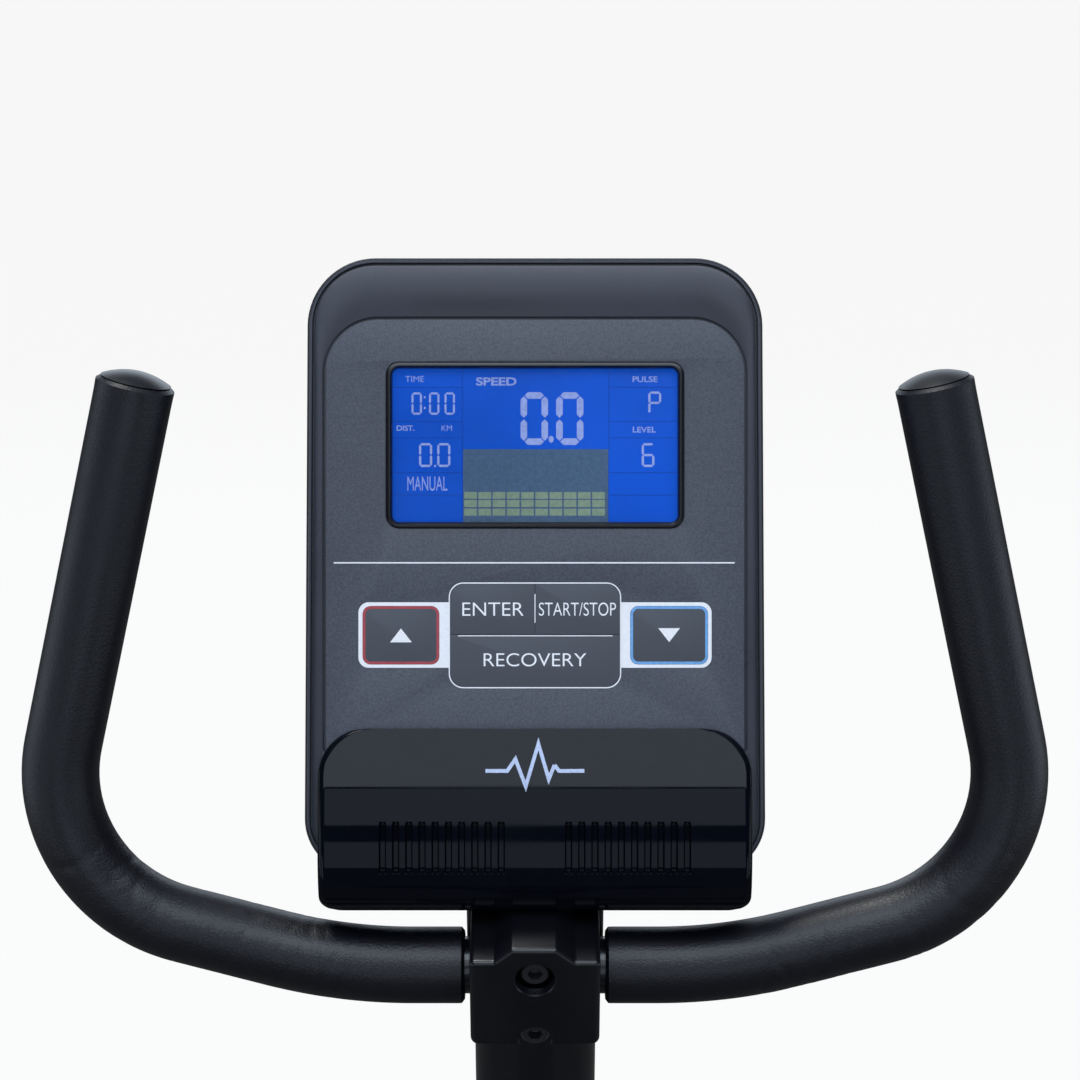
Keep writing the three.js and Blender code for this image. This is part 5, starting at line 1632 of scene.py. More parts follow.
# ---------------------------------------------------------------- base
@dataclass
class Base:
    """The two floor bars, their end caps and the transport wheels."""

    radius: float = 0.025
    half: float = 0.225
    axis_z: float = 0.038
    front_y: float = 0.420
    rear_y: float = -0.448
    cap_in: float = 0.190
    cap_out: float = 0.262
    wheel_x: float = 0.241
    wheel_y: float = 0.462
    wheel_z: float = 0.027
    wheel_radius: float = 0.024
    wheel_half: float = 0.009

    def build(self) -> None:
        """Make the bars, the caps and the wheels."""
        for name, y in (("front", self.front_y), ("rear", self.rear_y)):
            tube = lathe(name + "_floor_bar", pipe(self.radius, self.radius - 0.0025, -self.half,
                                                   self.half), (0, y, self.axis_z), "x", 64)
            dress(tube, PAINT, Body.FRAME, name + "_stabilizer")
        for side in Side:
            self.front_cap(side)
            self.rear_cap(side)
            self.wheel(side)

    def front_cap(self, side: Side) -> None:
        """A front cap: a standing block with a round top, and two ears for the wheel."""
        y, x = self.front_y, self.wheel_x * side.value
        reach = self.wheel_half + 0.006
        block = rect(y - 0.032, y + 0.032, 0, 0.074)
        body = slab("cap_body", block, (0.006, 0.006, 0.026, 0.026),
                    *mirrored(side, self.cap_in, self.cap_out), 0.004, ROW, "x")
        ears = [slab("ear", rect(y + 0.008, self.wheel_y + 0.014, 0.012, 0.044),
                     (0.010, 0.014, 0.014, 0.010),
                     *sorted((x + side.value * a, x + side.value * b)),
                     0.001, ROW, "x") for a, b in ((-reach, -self.wheel_half - 0.001),
                                                   (self.wheel_half + 0.001, reach))]
        well = lathe("well", rod(self.wheel_radius + 0.003, x - self.wheel_half - 0.001,
                                 x + self.wheel_half + 0.001), (0, self.wheel_y, self.wheel_z), "x",
                     48)
        bore = lathe("bore", rod(self.radius + 0.0003, *mirrored(side, self.cap_in - 0.01,
                                                                 self.half + 0.0003)),
                     (0, y, self.axis_z), "x", 64)
        body = carve(body, well, bore)
        pin = lathe("pin", rod(0.0035, x - reach - 0.0012, x + reach + 0.0012, 0.0008),
                    (0, self.wheel_y, self.wheel_z), "x", 24)
        sole = slab("front_sole_" + side.label, rect(y - 0.030, y + 0.030, 0.0, 0.0022), 0.001,
                    *mirrored(side, self.cap_in - 0.0012, self.cap_out + 0.0012), 0.0008, ROW, "x")
        dress(sole, WHEEL_RUBBER, Body.FRAME)
        boss = plate("panel", lambda inset: rounded(rect(y - 0.022, y + 0.022, 0.012, 0.064),
                                                    (0.004, 0.004, 0.018, 0.018), 8, inset),
                     *mirrored(side, self.cap_out - 0.001, self.cap_out + 0.0009), 0.0007, ROW, "x")
        piece = merged("front_foot_" + side.label, [body, *ears, pin, boss])
        dress(piece, PLASTIC, Body.FRAME, "front_end_cap_" + side.label)

    def rear_cap(self, side: Side) -> None:
        """A levelling cap: eight flats at growing distances from the tube's axis.

        The corner between two flats is where their lines meet: along the first flat by
        (next - this * cos(step)) / sin(step).
        """
        flats = 8
        step = 2 * pi / flats
        apothem = np.array([self.axis_z]
                           + [self.axis_z - 0.006 + 0.001 * i for i in range(1, flats)])
        after = np.roll(apothem, -1)
        along = (after - apothem * cos(step)) / sin(step)
        down = -pi / 2 + step * np.arange(flats)
        corners = np.column_stack([
            self.rear_y + apothem * np.cos(down) - along * np.sin(down),
            self.axis_z + apothem * np.sin(down) + along * np.cos(down)])
        start = mirrored(side, self.cap_in, self.cap_out)[0]
        rings = [(0.0045, 0.0), (0.0015, 0.0008), (0.0, 0.0035)]
        grooves = [(0.0, 0.0215), (0.0012, 0.0222), (0.0012, 0.0242), (0.0, 0.0249), (0.0, 0.0471),
                   (0.0012, 0.0478), (0.0012, 0.0498), (0.0, 0.0505), (0.0, 0.0685),
                   (0.0015, 0.0712),
                   (0.0045, 0.072)]
        loops = np.array([raised(rounded(corners, 0.006, 6, inset), start + run)
                          for inset, run in rings + grooves])
        body = loft("cap_body", loops[..., [2, 0, 1]])
        bore = lathe("bore", rod(self.radius + 0.0006, *mirrored(side, self.cap_in - 0.01,
                                                                 self.half + 0.0003)),
                     (0, self.rear_y, self.axis_z), "x", 64)
        piece = carve(body, bore)
        piece.name = "level_foot_" + side.label
        dress(piece, PLASTIC, Body("level_cap_" + side.label), "rear_end_cap_" + side.label)

    def wheel(self, side: Side) -> None:
        """A transport wheel: a ribbed tyre on a hub with a stepped face."""
        x, r, h = self.wheel_x * side.value, self.wheel_radius, self.wheel_half
        centre = (x, self.wheel_y, self.wheel_z)
        ribs = [(a * h, r - d) for a, d in ((-0.72, 0), (-0.5, 0), (-0.44, 0.0009), (-0.32, 0.0009),
                                            (-0.26, 0), (0.26, 0), (0.32, 0.0009), (0.44, 0.0009),
                                            (0.5, 0), (0.72, 0))]
        tyre = [(-h, 0.0165), (-h, r - 0.003), (-0.92 * h, r - 0.001), *ribs, (0.92 * h, r - 0.001),
                (h, r - 0.003), (h, 0.0165)]
        body = Body("wheel_" + side.label)
        dress(lathe("wheel_tyre_" + side.label, tyre, centre, "x", 64), WHEEL_RUBBER, body,
              "transport_wheel_" + side.label)
        hub = [(-h * 0.95, 0.004), (-h * 0.95, 0.007), (-h * 0.6, 0.0085), (-h * 0.6, 0.0145),
               (-h * 0.9, 0.0164), (h * 0.9, 0.0164), (h * 0.6, 0.0145), (h * 0.6, 0.0085),
               (h * 0.95, 0.007), (h * 0.95, 0.004)]
        dress(lathe("wheel_hub_" + side.label, hub, centre, "x", 48), TRIM_PLASTIC, body)


# ---------------------------------------------------------------- frame and shells
@dataclass
class Frame:
    """The welded frame, and the two shells round the drive."""

    seat: Placement
    post: Placement
    crank: tuple[float, float] = (-0.010, 0.310)
    wheel: tuple[float, float] = (0.180, 0.290)
    shell_half: float = 0.064
    shell_edge: float = 0.014
    wall: float = 0.003
    inlet: tuple[float, float] = (0.330, 0.160)
    shell_points: tuple = ((-196, 445), (-105, 470), (20, 452), (150, 474), (240, 536), (318, 552),
                           (366, 500), (392, 380), (404, 230), (372, 128), (250, 88), (60, 84),
                           (-110, 96), (-186, 170), (-212, 310))

    def build(self) -> None:
        """Make the frame, the shells, their trims and the power inlet."""
        self.skeleton()
        for side in Side:
            self.shell(side)
            self.trims(side)
        y, z = self.inlet
        x = self.shell_half
        ring = [(0.050, 0.003), (0.050, 0.008), (x, 0.008), (x, 0.0105), (x + 0.0008, 0.011),
                (x + 0.0018, 0.0104), (x + 0.002, 0.0095), (x + 0.002, 0.0068), (x + 0.0005, 0.006),
                (x - 0.006, 0.0055), (x - 0.006, 0.003)]
        dress(lathe("power_inlet", ring, (0, y, z), "x", 48), TRIM_PLASTIC, Body.FRAME,
              "power_socket")

    def skeleton(self) -> None:
        """The spine, the seat tube, the post's stub and the plates that hold the drive."""
        path = catmull([(0, 0.420, 0.062), (0, 0.360, 0.088), (0, 0.270, 0.108), (0, 0.060, 0.112),
                        (0, -0.090, 0.108), (0, -0.298, 0.080), (0, -0.448, 0.058)], 14, False)
        section = rounded(rect(-0.025, 0.025, -0.020, 0.020), 0.008, 6)
        spine = sweep("spine", path, section)
        bars = [lathe("clear", rod(0.0253, -0.04, 0.04), (0, y, 0.038), "x", 48)
                for y in (0.420, -0.448)]
        spine = carve(spine, *bars)
        seat_tube = lathe("tube", pipe(0.030, 0.0265, -0.195, 0.305, 0.0008), (0, 0, 0), "y", 64,
                          self.seat)
        hole = lathe("pin_hole", rod(0.0063, -0.06, 0.0), (0, 0.280, 0), "z", 24, self.seat)
        seat_tube = carve(seat_tube, hole)
        cy, cz = self.crank
        wy, wz = self.wheel
        shell = lathe("crank_shell", pipe(0.024, 0.020, -0.030, 0.026), (0, cy, cz), "x", 48)
        column = slab("column", rect(cy - 0.018, cy + 0.018, 0.128, cz - 0.022), 0.003, -0.016,
                      0.016,
                      0.002, ROW, "x")
        brace = slab("brace", [(-0.118, 0.250), (cy - 0.02, 0.280), (cy - 0.02, 0.308),
                               (-0.118, 0.285)], 0.001, -0.018, 0.018, 0.002, ROW, "x")
        corners = [(wy - 0.055, 0.096), (wy + 0.055, 0.096), (wy + 0.020, wz + 0.018),
                   (wy - 0.020, wz + 0.018)]
        plates = [slab("plate", corners, (0.002, 0.002, 0.018, 0.018), x0, x0 + 0.005, 0.0006, ROW,
                       "x")
                  for x0 in (-0.025, 0.049)]
        cross = slab("cross_bar", rect(wy - 0.045, wy + 0.045, 0.097, 0.112), 0.002, 0.020, 0.054,
                     0.001, ROW, "x")
        pivot = lathe("pivot", rod(0.004, -0.020, 0.013), (0, 0.2210, 0.1772), "x", 24)
        tab = slab("tab", rect(0.205, 0.232, 0.120, 0.192), 0.004, -0.022, -0.014, 0.0006, ROW, "x")
        stub = plate("stub",
                     lambda inset: rounded(rect(-0.023, 0.023, -0.055, -0.021), 0.003, 4, inset),
                     -0.950, -0.500, 0.001, self.post, "y")
        piece = merged("welded_frame",
                       [spine, seat_tube, shell, column, brace, *plates, cross, pivot,
                                        tab, stub])
        dress(piece, PAINT, Body.FRAME, "main_frame")

    def outline(self, inset: float) -> Array:
        """The shells' outline, with each point moved along its own normal."""
        curve = catmull(np.array(self.shell_points) / 1000, 12)
        along = np.roll(curve, -1, 0) - np.roll(curve, 1, 0)
        along /= np.linalg.norm(along, axis=1, keepdims=True)
        return curve + np.column_stack([along[:, 1], -along[:, 0]]) * inset

    def shell(self, side: Side) -> None:
        """A half of the shells: a tray whose edge turns in with a quarter circle."""
        half, edge, wall = self.shell_half, self.shell_edge, self.wall
        turn = np.linspace(0, pi / 2, 9)

        def skin(depth: float, inset: float) -> list[tuple[float, float]]:
            """From the flat side down to the rim: the inset and the height of each ring."""
            return [(inset + edge * (1 - cos(t)), depth - edge + edge * sin(t)) for t in turn[::-1]]

        rings = [*skin(half, 0.0), (0.0, 0.0012), (0.0010, 0.00015), (wall, 0.00015),
                 *skin(half - wall, wall)[::-1]]
        loops = np.array([raised(self.outline(inset), side.value * x) for inset, x in rings])
        tray = loft("tray", loops[..., [2, 0, 1]])
        iy, iz = self.inlet
        cy, cz = self.crank
        tools = [
            lathe("a", rod(0.0306, -0.24, 0.33), (0, 0, 0), "y", 48, self.seat),
            plate("b",
                  lambda inset: rounded(rect(-0.0286, 0.0286, -0.0606, -0.0154), 0.006, 4, inset),
                  -0.70, -0.40, 0.001, self.post, "y"),
            lathe("c", rod(0.0163, -0.1, 0.1), (0, cy, cz), "x", 48),
            slab("d", rect(-0.3, 0.5, 0.040, 0.140), 0.004, -0.026, 0.026, 0.002, ROW, "x"),
            lathe("e", rod(0.0083, 0.05, 0.08), (0, iy, iz), "x", 32),
        ]
        slots = []
        for i in range(7):
            y, z = 0.262 + 0.0105 * i, 0.452 + 0.0035 * i
            corners = [(y, z - 0.030), (y + 0.0045, z - 0.030), (y + 0.0165, z + 0.030),
                       (y + 0.012, z + 0.030)]
            slots.append(slab("slot", corners, 0.0019, *mirrored(side, 0.055, 0.075), 0.0002, ROW,
                              "x"))
        # A dark sheet set inside the shell behind the vent slots. It stands in for the shade inside the shell, so
        # the slots read dark and do not show through both shells.
        shade_sheet = slab("vent_baffle_" + side.label, rect(0.250, 0.362, 0.405, 0.515), 0.006,
                      *mirrored(side, 0.0515, 0.0530), 0.0004, ROW, "x")
        dress(shade_sheet, SHELL_PLASTIC, Body.FRAME)
        piece = carve(tray, *tools, merged("slots", slots))
        piece.name = "drive_shell_" + side.label
        dress(piece, SHELL_PLASTIC, Body.FRAME, "shell_" + side.label)

    def trims(self, side: Side) -> None:
        """A fine raised line round the shell, a ring round the crank disc, and the screws."""
        face = self.shell_half
        rings = [(0.0205, -0.0006), (0.0207, 0.0004), (0.0222, 0.0004), (0.0224, -0.0006)]
        loops = np.array([raised(self.outline(inset), side.value * (face + x))
                          for inset, x in rings])
        line = loft("shell_line_" + side.label, loops[..., [2, 0, 1]], closed=True)
        dress(line, TRIM_PLASTIC, Body.FRAME)
        s = side.value
        lip = [(s * (face - 0.0005), 0.0905), (s * (face + 0.0024), 0.0905),
               (s * (face + 0.0032), 0.0915),
               (s * (face + 0.0028), 0.0930), (s * (face + 0.0012), 0.0950),
               (s * (face - 0.0005), 0.0955)]
        ring = lathe("crank_ring_" + side.label, lip, (0, *self.crank), "x", 96)
        dress(ring, TRIM_PLASTIC, Body.FRAME)
        around = self.outline(0.031)
        for i, at in enumerate(np.linspace(6, len(around), 8, endpoint=False).astype(int)):
            y, z = around[at % len(around)]
            piece = screw(f"shell_screw_{side.label}_{i}", (s * face, y, z), "x", s)
            dress(piece, BOLT, Body.FRAME)


# ---------------------------------------------------------------- post
@dataclass
class Post:
    """The handlebar post, the cover round its neck and the collar at its foot."""

    place: Placement
    console: Placement
    half_x: float = 0.028
    mid_z: float = -0.038
    half_z: float = 0.022
    foot: float = -0.640
    under: float = -0.0436

    def ring(self, x: float, z0: float, z1: float, radius: float) -> Callable[[float], Array]:
        """A rounded rectangle in x and z, for an inset."""
        return lambda inset: rounded(rect(-x, x, z0, z1), radius, 8, inset)

    def top(self, outline: Array) -> Array:
        """Where lines up the post meet the plane under the console, for each outline point.

        Both ends of a line are taken into the console's frame, and the height there runs straight
        between them.
        """
        x, z = outline.T
        low = self.console.local(self.place.world(np.stack([x, 0 * x, z], -1)))[:, 2]
        high = self.console.local(self.place.world(np.stack([x, 0 * x + 1, z], -1)))[:, 2]
        return (self.under - low) / (high - low)

    def sleeve(self, name: str, outer: Callable[[float], Array], inner: Callable[[float], Array],
               foot: float) -> bpy.types.Object:
        """A hollow sleeve from a foot up to the console's underside."""
        loops = []
        for outline, inset, at_top, lift in (
            (outer, 0.0006, False, 0.0), (outer, 0.0, False, 0.0006), (outer, 0.0, True, 0.0),
            (inner, 0.0, True, 0.0), (inner, 0.0, False, 0.0),
        ):
            points = outline(inset)
            y = self.top(points) if at_top else np.full(len(points), foot + lift)
            loops.append(np.column_stack([points[:, 0], y, points[:, 1]]))
        return loft(name, self.place.world(np.array(loops)), closed=True)

    def build(self) -> None:
        """Make the post, the neck cover and the collar."""
        z0, z1 = self.mid_z - self.half_z, self.mid_z + self.half_z
        x, wall = self.half_x, 0.003
        tube = self.sleeve("tube", self.ring(x, z0, z1, 0.008),
                           self.ring(x - wall, z0 + wall, z1 - wall, 0.005), self.foot)
        cradle = slab("cradle", rect(-0.024, 0.024, -0.0245, 0.0245), 0.0015, z1 - 0.001, -0.002,
                      0.0008,
                      self.place)
        channel = lathe("channel", rod(0.013, -0.04, 0.04), (0, 0, 0), "x", 48, self.place)
        cradle = carve(cradle, channel)
        plate_low, plate_high = -0.045, -0.0406
        bracket = slab("bracket", rect(-0.035, 0.035, -0.136, -0.078), 0.004, plate_low, plate_high,
                       0.0008, self.console)
        piece = merged("post_tube", [tube, cradle, bracket])
        dress(piece, PAINT, Body.FRAME, "handlebar_post")
        gap = 0.0003
        neck = self.sleeve("neck_sleeve", self.ring(0.0307, z0 - 0.004, z1 + 0.004, 0.005),
                           self.ring(x + gap, z0 - gap, z1 + gap, 0.0082), 0.0252)
        dress(neck, PLASTIC, Body.FRAME, "neck_cover")
        outer, inner = self.ring(x + 0.009, z0 - 0.009, z1 + 0.009, 0.012), self.ring(
            x + gap, z0 - gap, z1 + gap, 0.0082)
        rings = [(outer, 0.0012, -0.500), (outer, 0.0, -0.4988), (outer, 0.0, -0.4745),
                 (outer, 0.0006, -0.4715), (outer, 0.0022, -0.4685), (outer, 0.0046, -0.4667),
                 (outer, 0.0065, -0.466), (inner, 0.0, -0.466), (inner, 0.0, -0.500)]
        loops = np.array([raised(outline(inset), y) for outline, inset, y in rings])
        collar = loft("foot_collar", self.place.world(loops[..., [0, 2, 1]]), closed=True)
        dress(collar, PLASTIC, Body.FRAME, "post_collar")
        for side in Side:
            piece = screw("collar_screw_" + side.label,
                          (side.value * (x + 0.009), -0.485, self.mid_z),
                          "x", side.value, 0.0038, self.place)
            dress(piece, BOLT, Body.FRAME)
        self.console_back()

    def console_back(self) -> None:
        """The battery door, the ribs and the screws on the console's back."""
        back = -0.040
        door = slab("battery_door", rect(-0.048, 0.048, 0.010, 0.088), 0.006, back - 0.0009,
                    back + 0.001, (0.0006, 0.0002), self.console)
        dress(door, PLASTIC, Body.FRAME)
        latch = slab("battery_latch", rect(-0.009, 0.009, 0.088, 0.096), 0.003, back - 0.0016,
                     back + 0.001, (0.0008, 0.0002), self.console)
        dress(latch, TRIM_PLASTIC, Body.FRAME)
        ribs = [slab("rib", rect(-0.030, 0.030, y, y + 0.0016), 0.0007, back - 0.0016, back, 0.0004,
                     self.console, steps=3, edge_steps=2) for y in np.linspace(0.018, 0.046, 6)]
        dress(merged("battery_ribs", ribs), PLASTIC, Body.FRAME)
        for i, (x, y) in enumerate(((-0.078, -0.105), (0.078, -0.105), (-0.076, 0.118),
                                    (0.076, 0.118))):
            piece = screw(f"console_screw_{i}", (x, y, back), "z", -1, 0.0036, self.console)
            dress(piece, BOLT, Body.FRAME)
        for i, x in enumerate((-0.025, 0.025)):
            piece = screw(f"bracket_screw_{i}", (x, -0.086, -0.045), "z", -1, 0.0042, self.console)
            dress(piece, BOLT, Body.FRAME)


# ---------------------------------------------------------------- crank and pedals
@dataclass
class Crank:
    """The arms, the discs, the spindles and the pedals."""

    centre: tuple[float, float] = (-0.010, 0.310)
    length: float = 0.170
    rest: float = -35.0
    arm_x: float = 0.072
    arm_thick: float = 0.014
    pedal_in: float = 0.093
    pedal_out: float = 0.190
    pedal_half: float = 0.052
    pedal_thick: float = 0.024

    def end(self, side: Side) -> tuple[float, float]:
        """The middle of a pedal's spindle."""
        s = side.value * self.length
        return (self.centre[0] + s * cos(radians(self.rest)),
                self.centre[1] + s * sin(radians(self.rest)))

    def build(self) -> None:
        """Make both sides."""
        for side in Side:
            self.arm(side)
            self.disc(side)
            self.pedal(side)

    def arm(self, side: Side) -> None:
        """A tapered arm with a grooved face, and a dust cap on its boss."""
        cy, cz = self.centre
        end = self.end(side)
        x0, x1 = mirrored(side, self.arm_x, self.arm_x + self.arm_thick)
        body = plate("arm", bar_outline((cy, cz), 0.020, end, 0.014), x0, x1, 0.003, ROW, "x", 6)
        out = side.value * (self.arm_x + self.arm_thick)
        a = np.array((cy, cz)) * 0.78 + np.array(end) * 0.22
        b = np.array((cy, cz)) * 0.20 + np.array(end) * 0.80
        groove = plate("groove", bar_outline(a, 0.0075, b, 0.005),
                       *sorted((out - side.value * 0.0015,
                       out + side.value * 0.004)), 0.0006, ROW, "x")
        bores = [lathe("bore", rod(r, x0 - 0.002, x1 + 0.002), (0, *at), "x", 32)
                 for r, at in ((0.0086, (cy, cz)), (0.0063, end))]
        piece = carve(body, groove, *bores)
        piece.name = "arm_" + side.label
        dress(piece, PAINT, Body.CRANK, "crank_arm_" + side.label)
        s = side.value
        cap = [(out - s * 0.002, 0.0), (out - s * 0.002, 0.0105), (out + s * 0.0012, 0.0105),
               (out + s * 0.0022, 0.0095), (out + s * 0.0026, 0.006), (out + s * 0.0020, 0.0052),
               (out + s * 0.0020, 0.0)]
        dress(lathe("arm_cap_" + side.label, cap, (0, cy, cz), "x", 40), TRIM_PLASTIC, Body.CRANK)

    def disc(self, side: Side) -> None:
        """The disc behind an arm: a dished face with five shallow pockets."""
        s, lo, hi = side.value, 0.066, 0.0705
        face = [(s * lo, 0.0086), (s * lo, 0.0865), (s * (lo + 0.0008), 0.088),
                (s * (hi - 0.0012), 0.088),
                (s * hi, 0.0868), (s * hi, 0.0800), (s * (hi - 0.0009), 0.0785),
                (s * (hi - 0.0009), 0.0300),
                (s * hi, 0.0285), (s * hi, 0.0086)]
        body = lathe("disc", face, (0, *self.centre), "x", 128)
        pockets = []
        for k in range(5):
            turn = radians(self.rest) + (0.5 + k) * 2 * pi / 5
            radius = np.array([0.038, 0.072])
            inner = radius[0] * np.array([-1, 1]) * 0.34
            outer = radius[1] * np.array([-1, 1]) * 0.42
            local = np.array([(radius[0], inner[0]), (radius[1], outer[0]), (radius[1], outer[1]),
                              (radius[0], inner[1])])
            spin = np.array([[cos(turn), sin(turn)], [-sin(turn), cos(turn)]])
            corners = local @ spin + np.array(self.centre)
            pockets.append(slab("pocket", corners.tolist(), 0.009,
                                *mirrored(side, hi - 0.0022, hi + 0.003),
                                0.0004, ROW, "x"))
        piece = carve(body, merged("pockets", pockets))
        piece.name = "disc_" + side.label
        dress(piece, TRIM_PLASTIC, Body.CRANK, "crank_disc_" + side.label)

    def pedal(self, side: Side) -> None:
        """A pedal: a slotted platform with studs, a spindle, reflectors and a strap."""
        y, z = self.end(side)
        s, h, t = side.value, self.pedal_half, self.pedal_thick / 2
        body = Body("pedal_" + side.label)
        spindle = [(s * 0.073, 0.0), (s * 0.073, 0.006), (s * 0.0862, 0.006), (s * 0.0862, 0.0095),
                   (s * 0.0905, 0.0095), (s * 0.0915, 0.0085), (s * 0.0915, 0.006),
                   (s * 0.1812, 0.006),
                   (s * 0.182, 0.0052), (s * 0.182, 0.0)]
        dress(lathe("spindle_" + side.label, spindle, (0, y, z), "x", 32), STEEL, Body.CRANK,
              "pedal_spindle_" + side.label)
        x0, x1 = mirrored(side, self.pedal_in, self.pedal_out)
        outline = rounded(rect(x0, x1, y - h, y + h), 0.014, 8)
        slots = [rounded(rect(x0 + 0.012, x1 - 0.012, y + a, y + b), 0.004, 4)
                 for a, b in ((0.016, 0.036), (-0.036, -0.016))]
        platform = flat_piece("platform", [outline, *slots], z - t, z + t, 0.0022)
        bore = lathe("bore",
                     rod(0.0064, *mirrored(side, self.pedal_in - 0.004, self.pedal_out - 0.006)),
                     (0, y, z), "x", 32)
        platform = carve(platform, bore)
        studs = []
        for row in (-0.0455, 0.0455, -0.011, 0.011):
            for x in np.linspace(x0 + 0.014, x1 - 0.014, 8):
                stud = [(-0.0035, 0.0), (-0.0035, 0.0026), (0.0, 0.0024), (0.0011, 0.0012),
                        (0.0011, 0.0)]
                for up in (1, -1):
                    profile = [(up * a, r) for a, r in stud]
                    studs.append(lathe("stud", profile, (x, y + row, z + up * t), "z", 10))
        ribs = [slab("rib", rect(x0 + 0.012, x1 - 0.012, y + r - 0.0011, y + r + 0.0011), 0.0008,
                     z - t + 0.003, z + t - 0.003, 0.0006, steps=2, edge_steps=2)
                for r in (-0.026, 0.026)]
        piece = merged("pedal_body_" + side.label, [platform, *studs, *ribs])
        dress(piece, PLASTIC, body, "pedal_" + side.label)
        for end, label in ((1, "front"), (-1, "rear")):
            edge = y + end * h
            glass = slab(f"pedal_reflector_{side.label}_{label}",
                         rect(x0 + 0.020, x1 - 0.020, z - 0.006, z + 0.006), 0.002,
                         -(edge + 0.0012 if end > 0 else edge + 0.0010),
                         -(edge - 0.0010 if end > 0 else edge - 0.0012), 0.0004,
                         Placement((0, 0, 0), 90.0))
            dress(glass, REFLECTOR, body)
        self.strap(side, y, z, x0, x1)

    def strap(self, side: Side, y: float, z: float, x0: float, x1: float) -> None:
        """The foot strap: a flat band arched over the pedal, wider in its middle.

        Its path is half of an ellipse whose sides stand on the pedal's ends.
        """
        turn = np.linspace(-0.10, pi + 0.10, 61)
        mid, half = (x0 + x1) / 2, (x1 - x0) / 2 + 0.0015
        path = np.column_stack([mid - half * np.cos(turn), np.full(61, y + 0.004),
                                z + 0.050 * np.sin(turn)])
        section = rounded(rect(-0.5, 0.5, -0.5, 0.5), 0.2, 3) * (0.024, 0.0024)
        first, second = path_frames(path, (0, 1, 0))
        wide = 1 + 0.45 * np.exp(-(((turn - pi / 2) / 0.75) ** 2))
        across = (section[None, :, :1] * first[:, None] * wide[:, None, None]
                  + section[None, :, 1:] * second[:, None])
        piece = loft("pedal_strap_" + side.label, path[:, None] + across)
        dress(piece, WHEEL_RUBBER, Body("pedal_" + side.label))


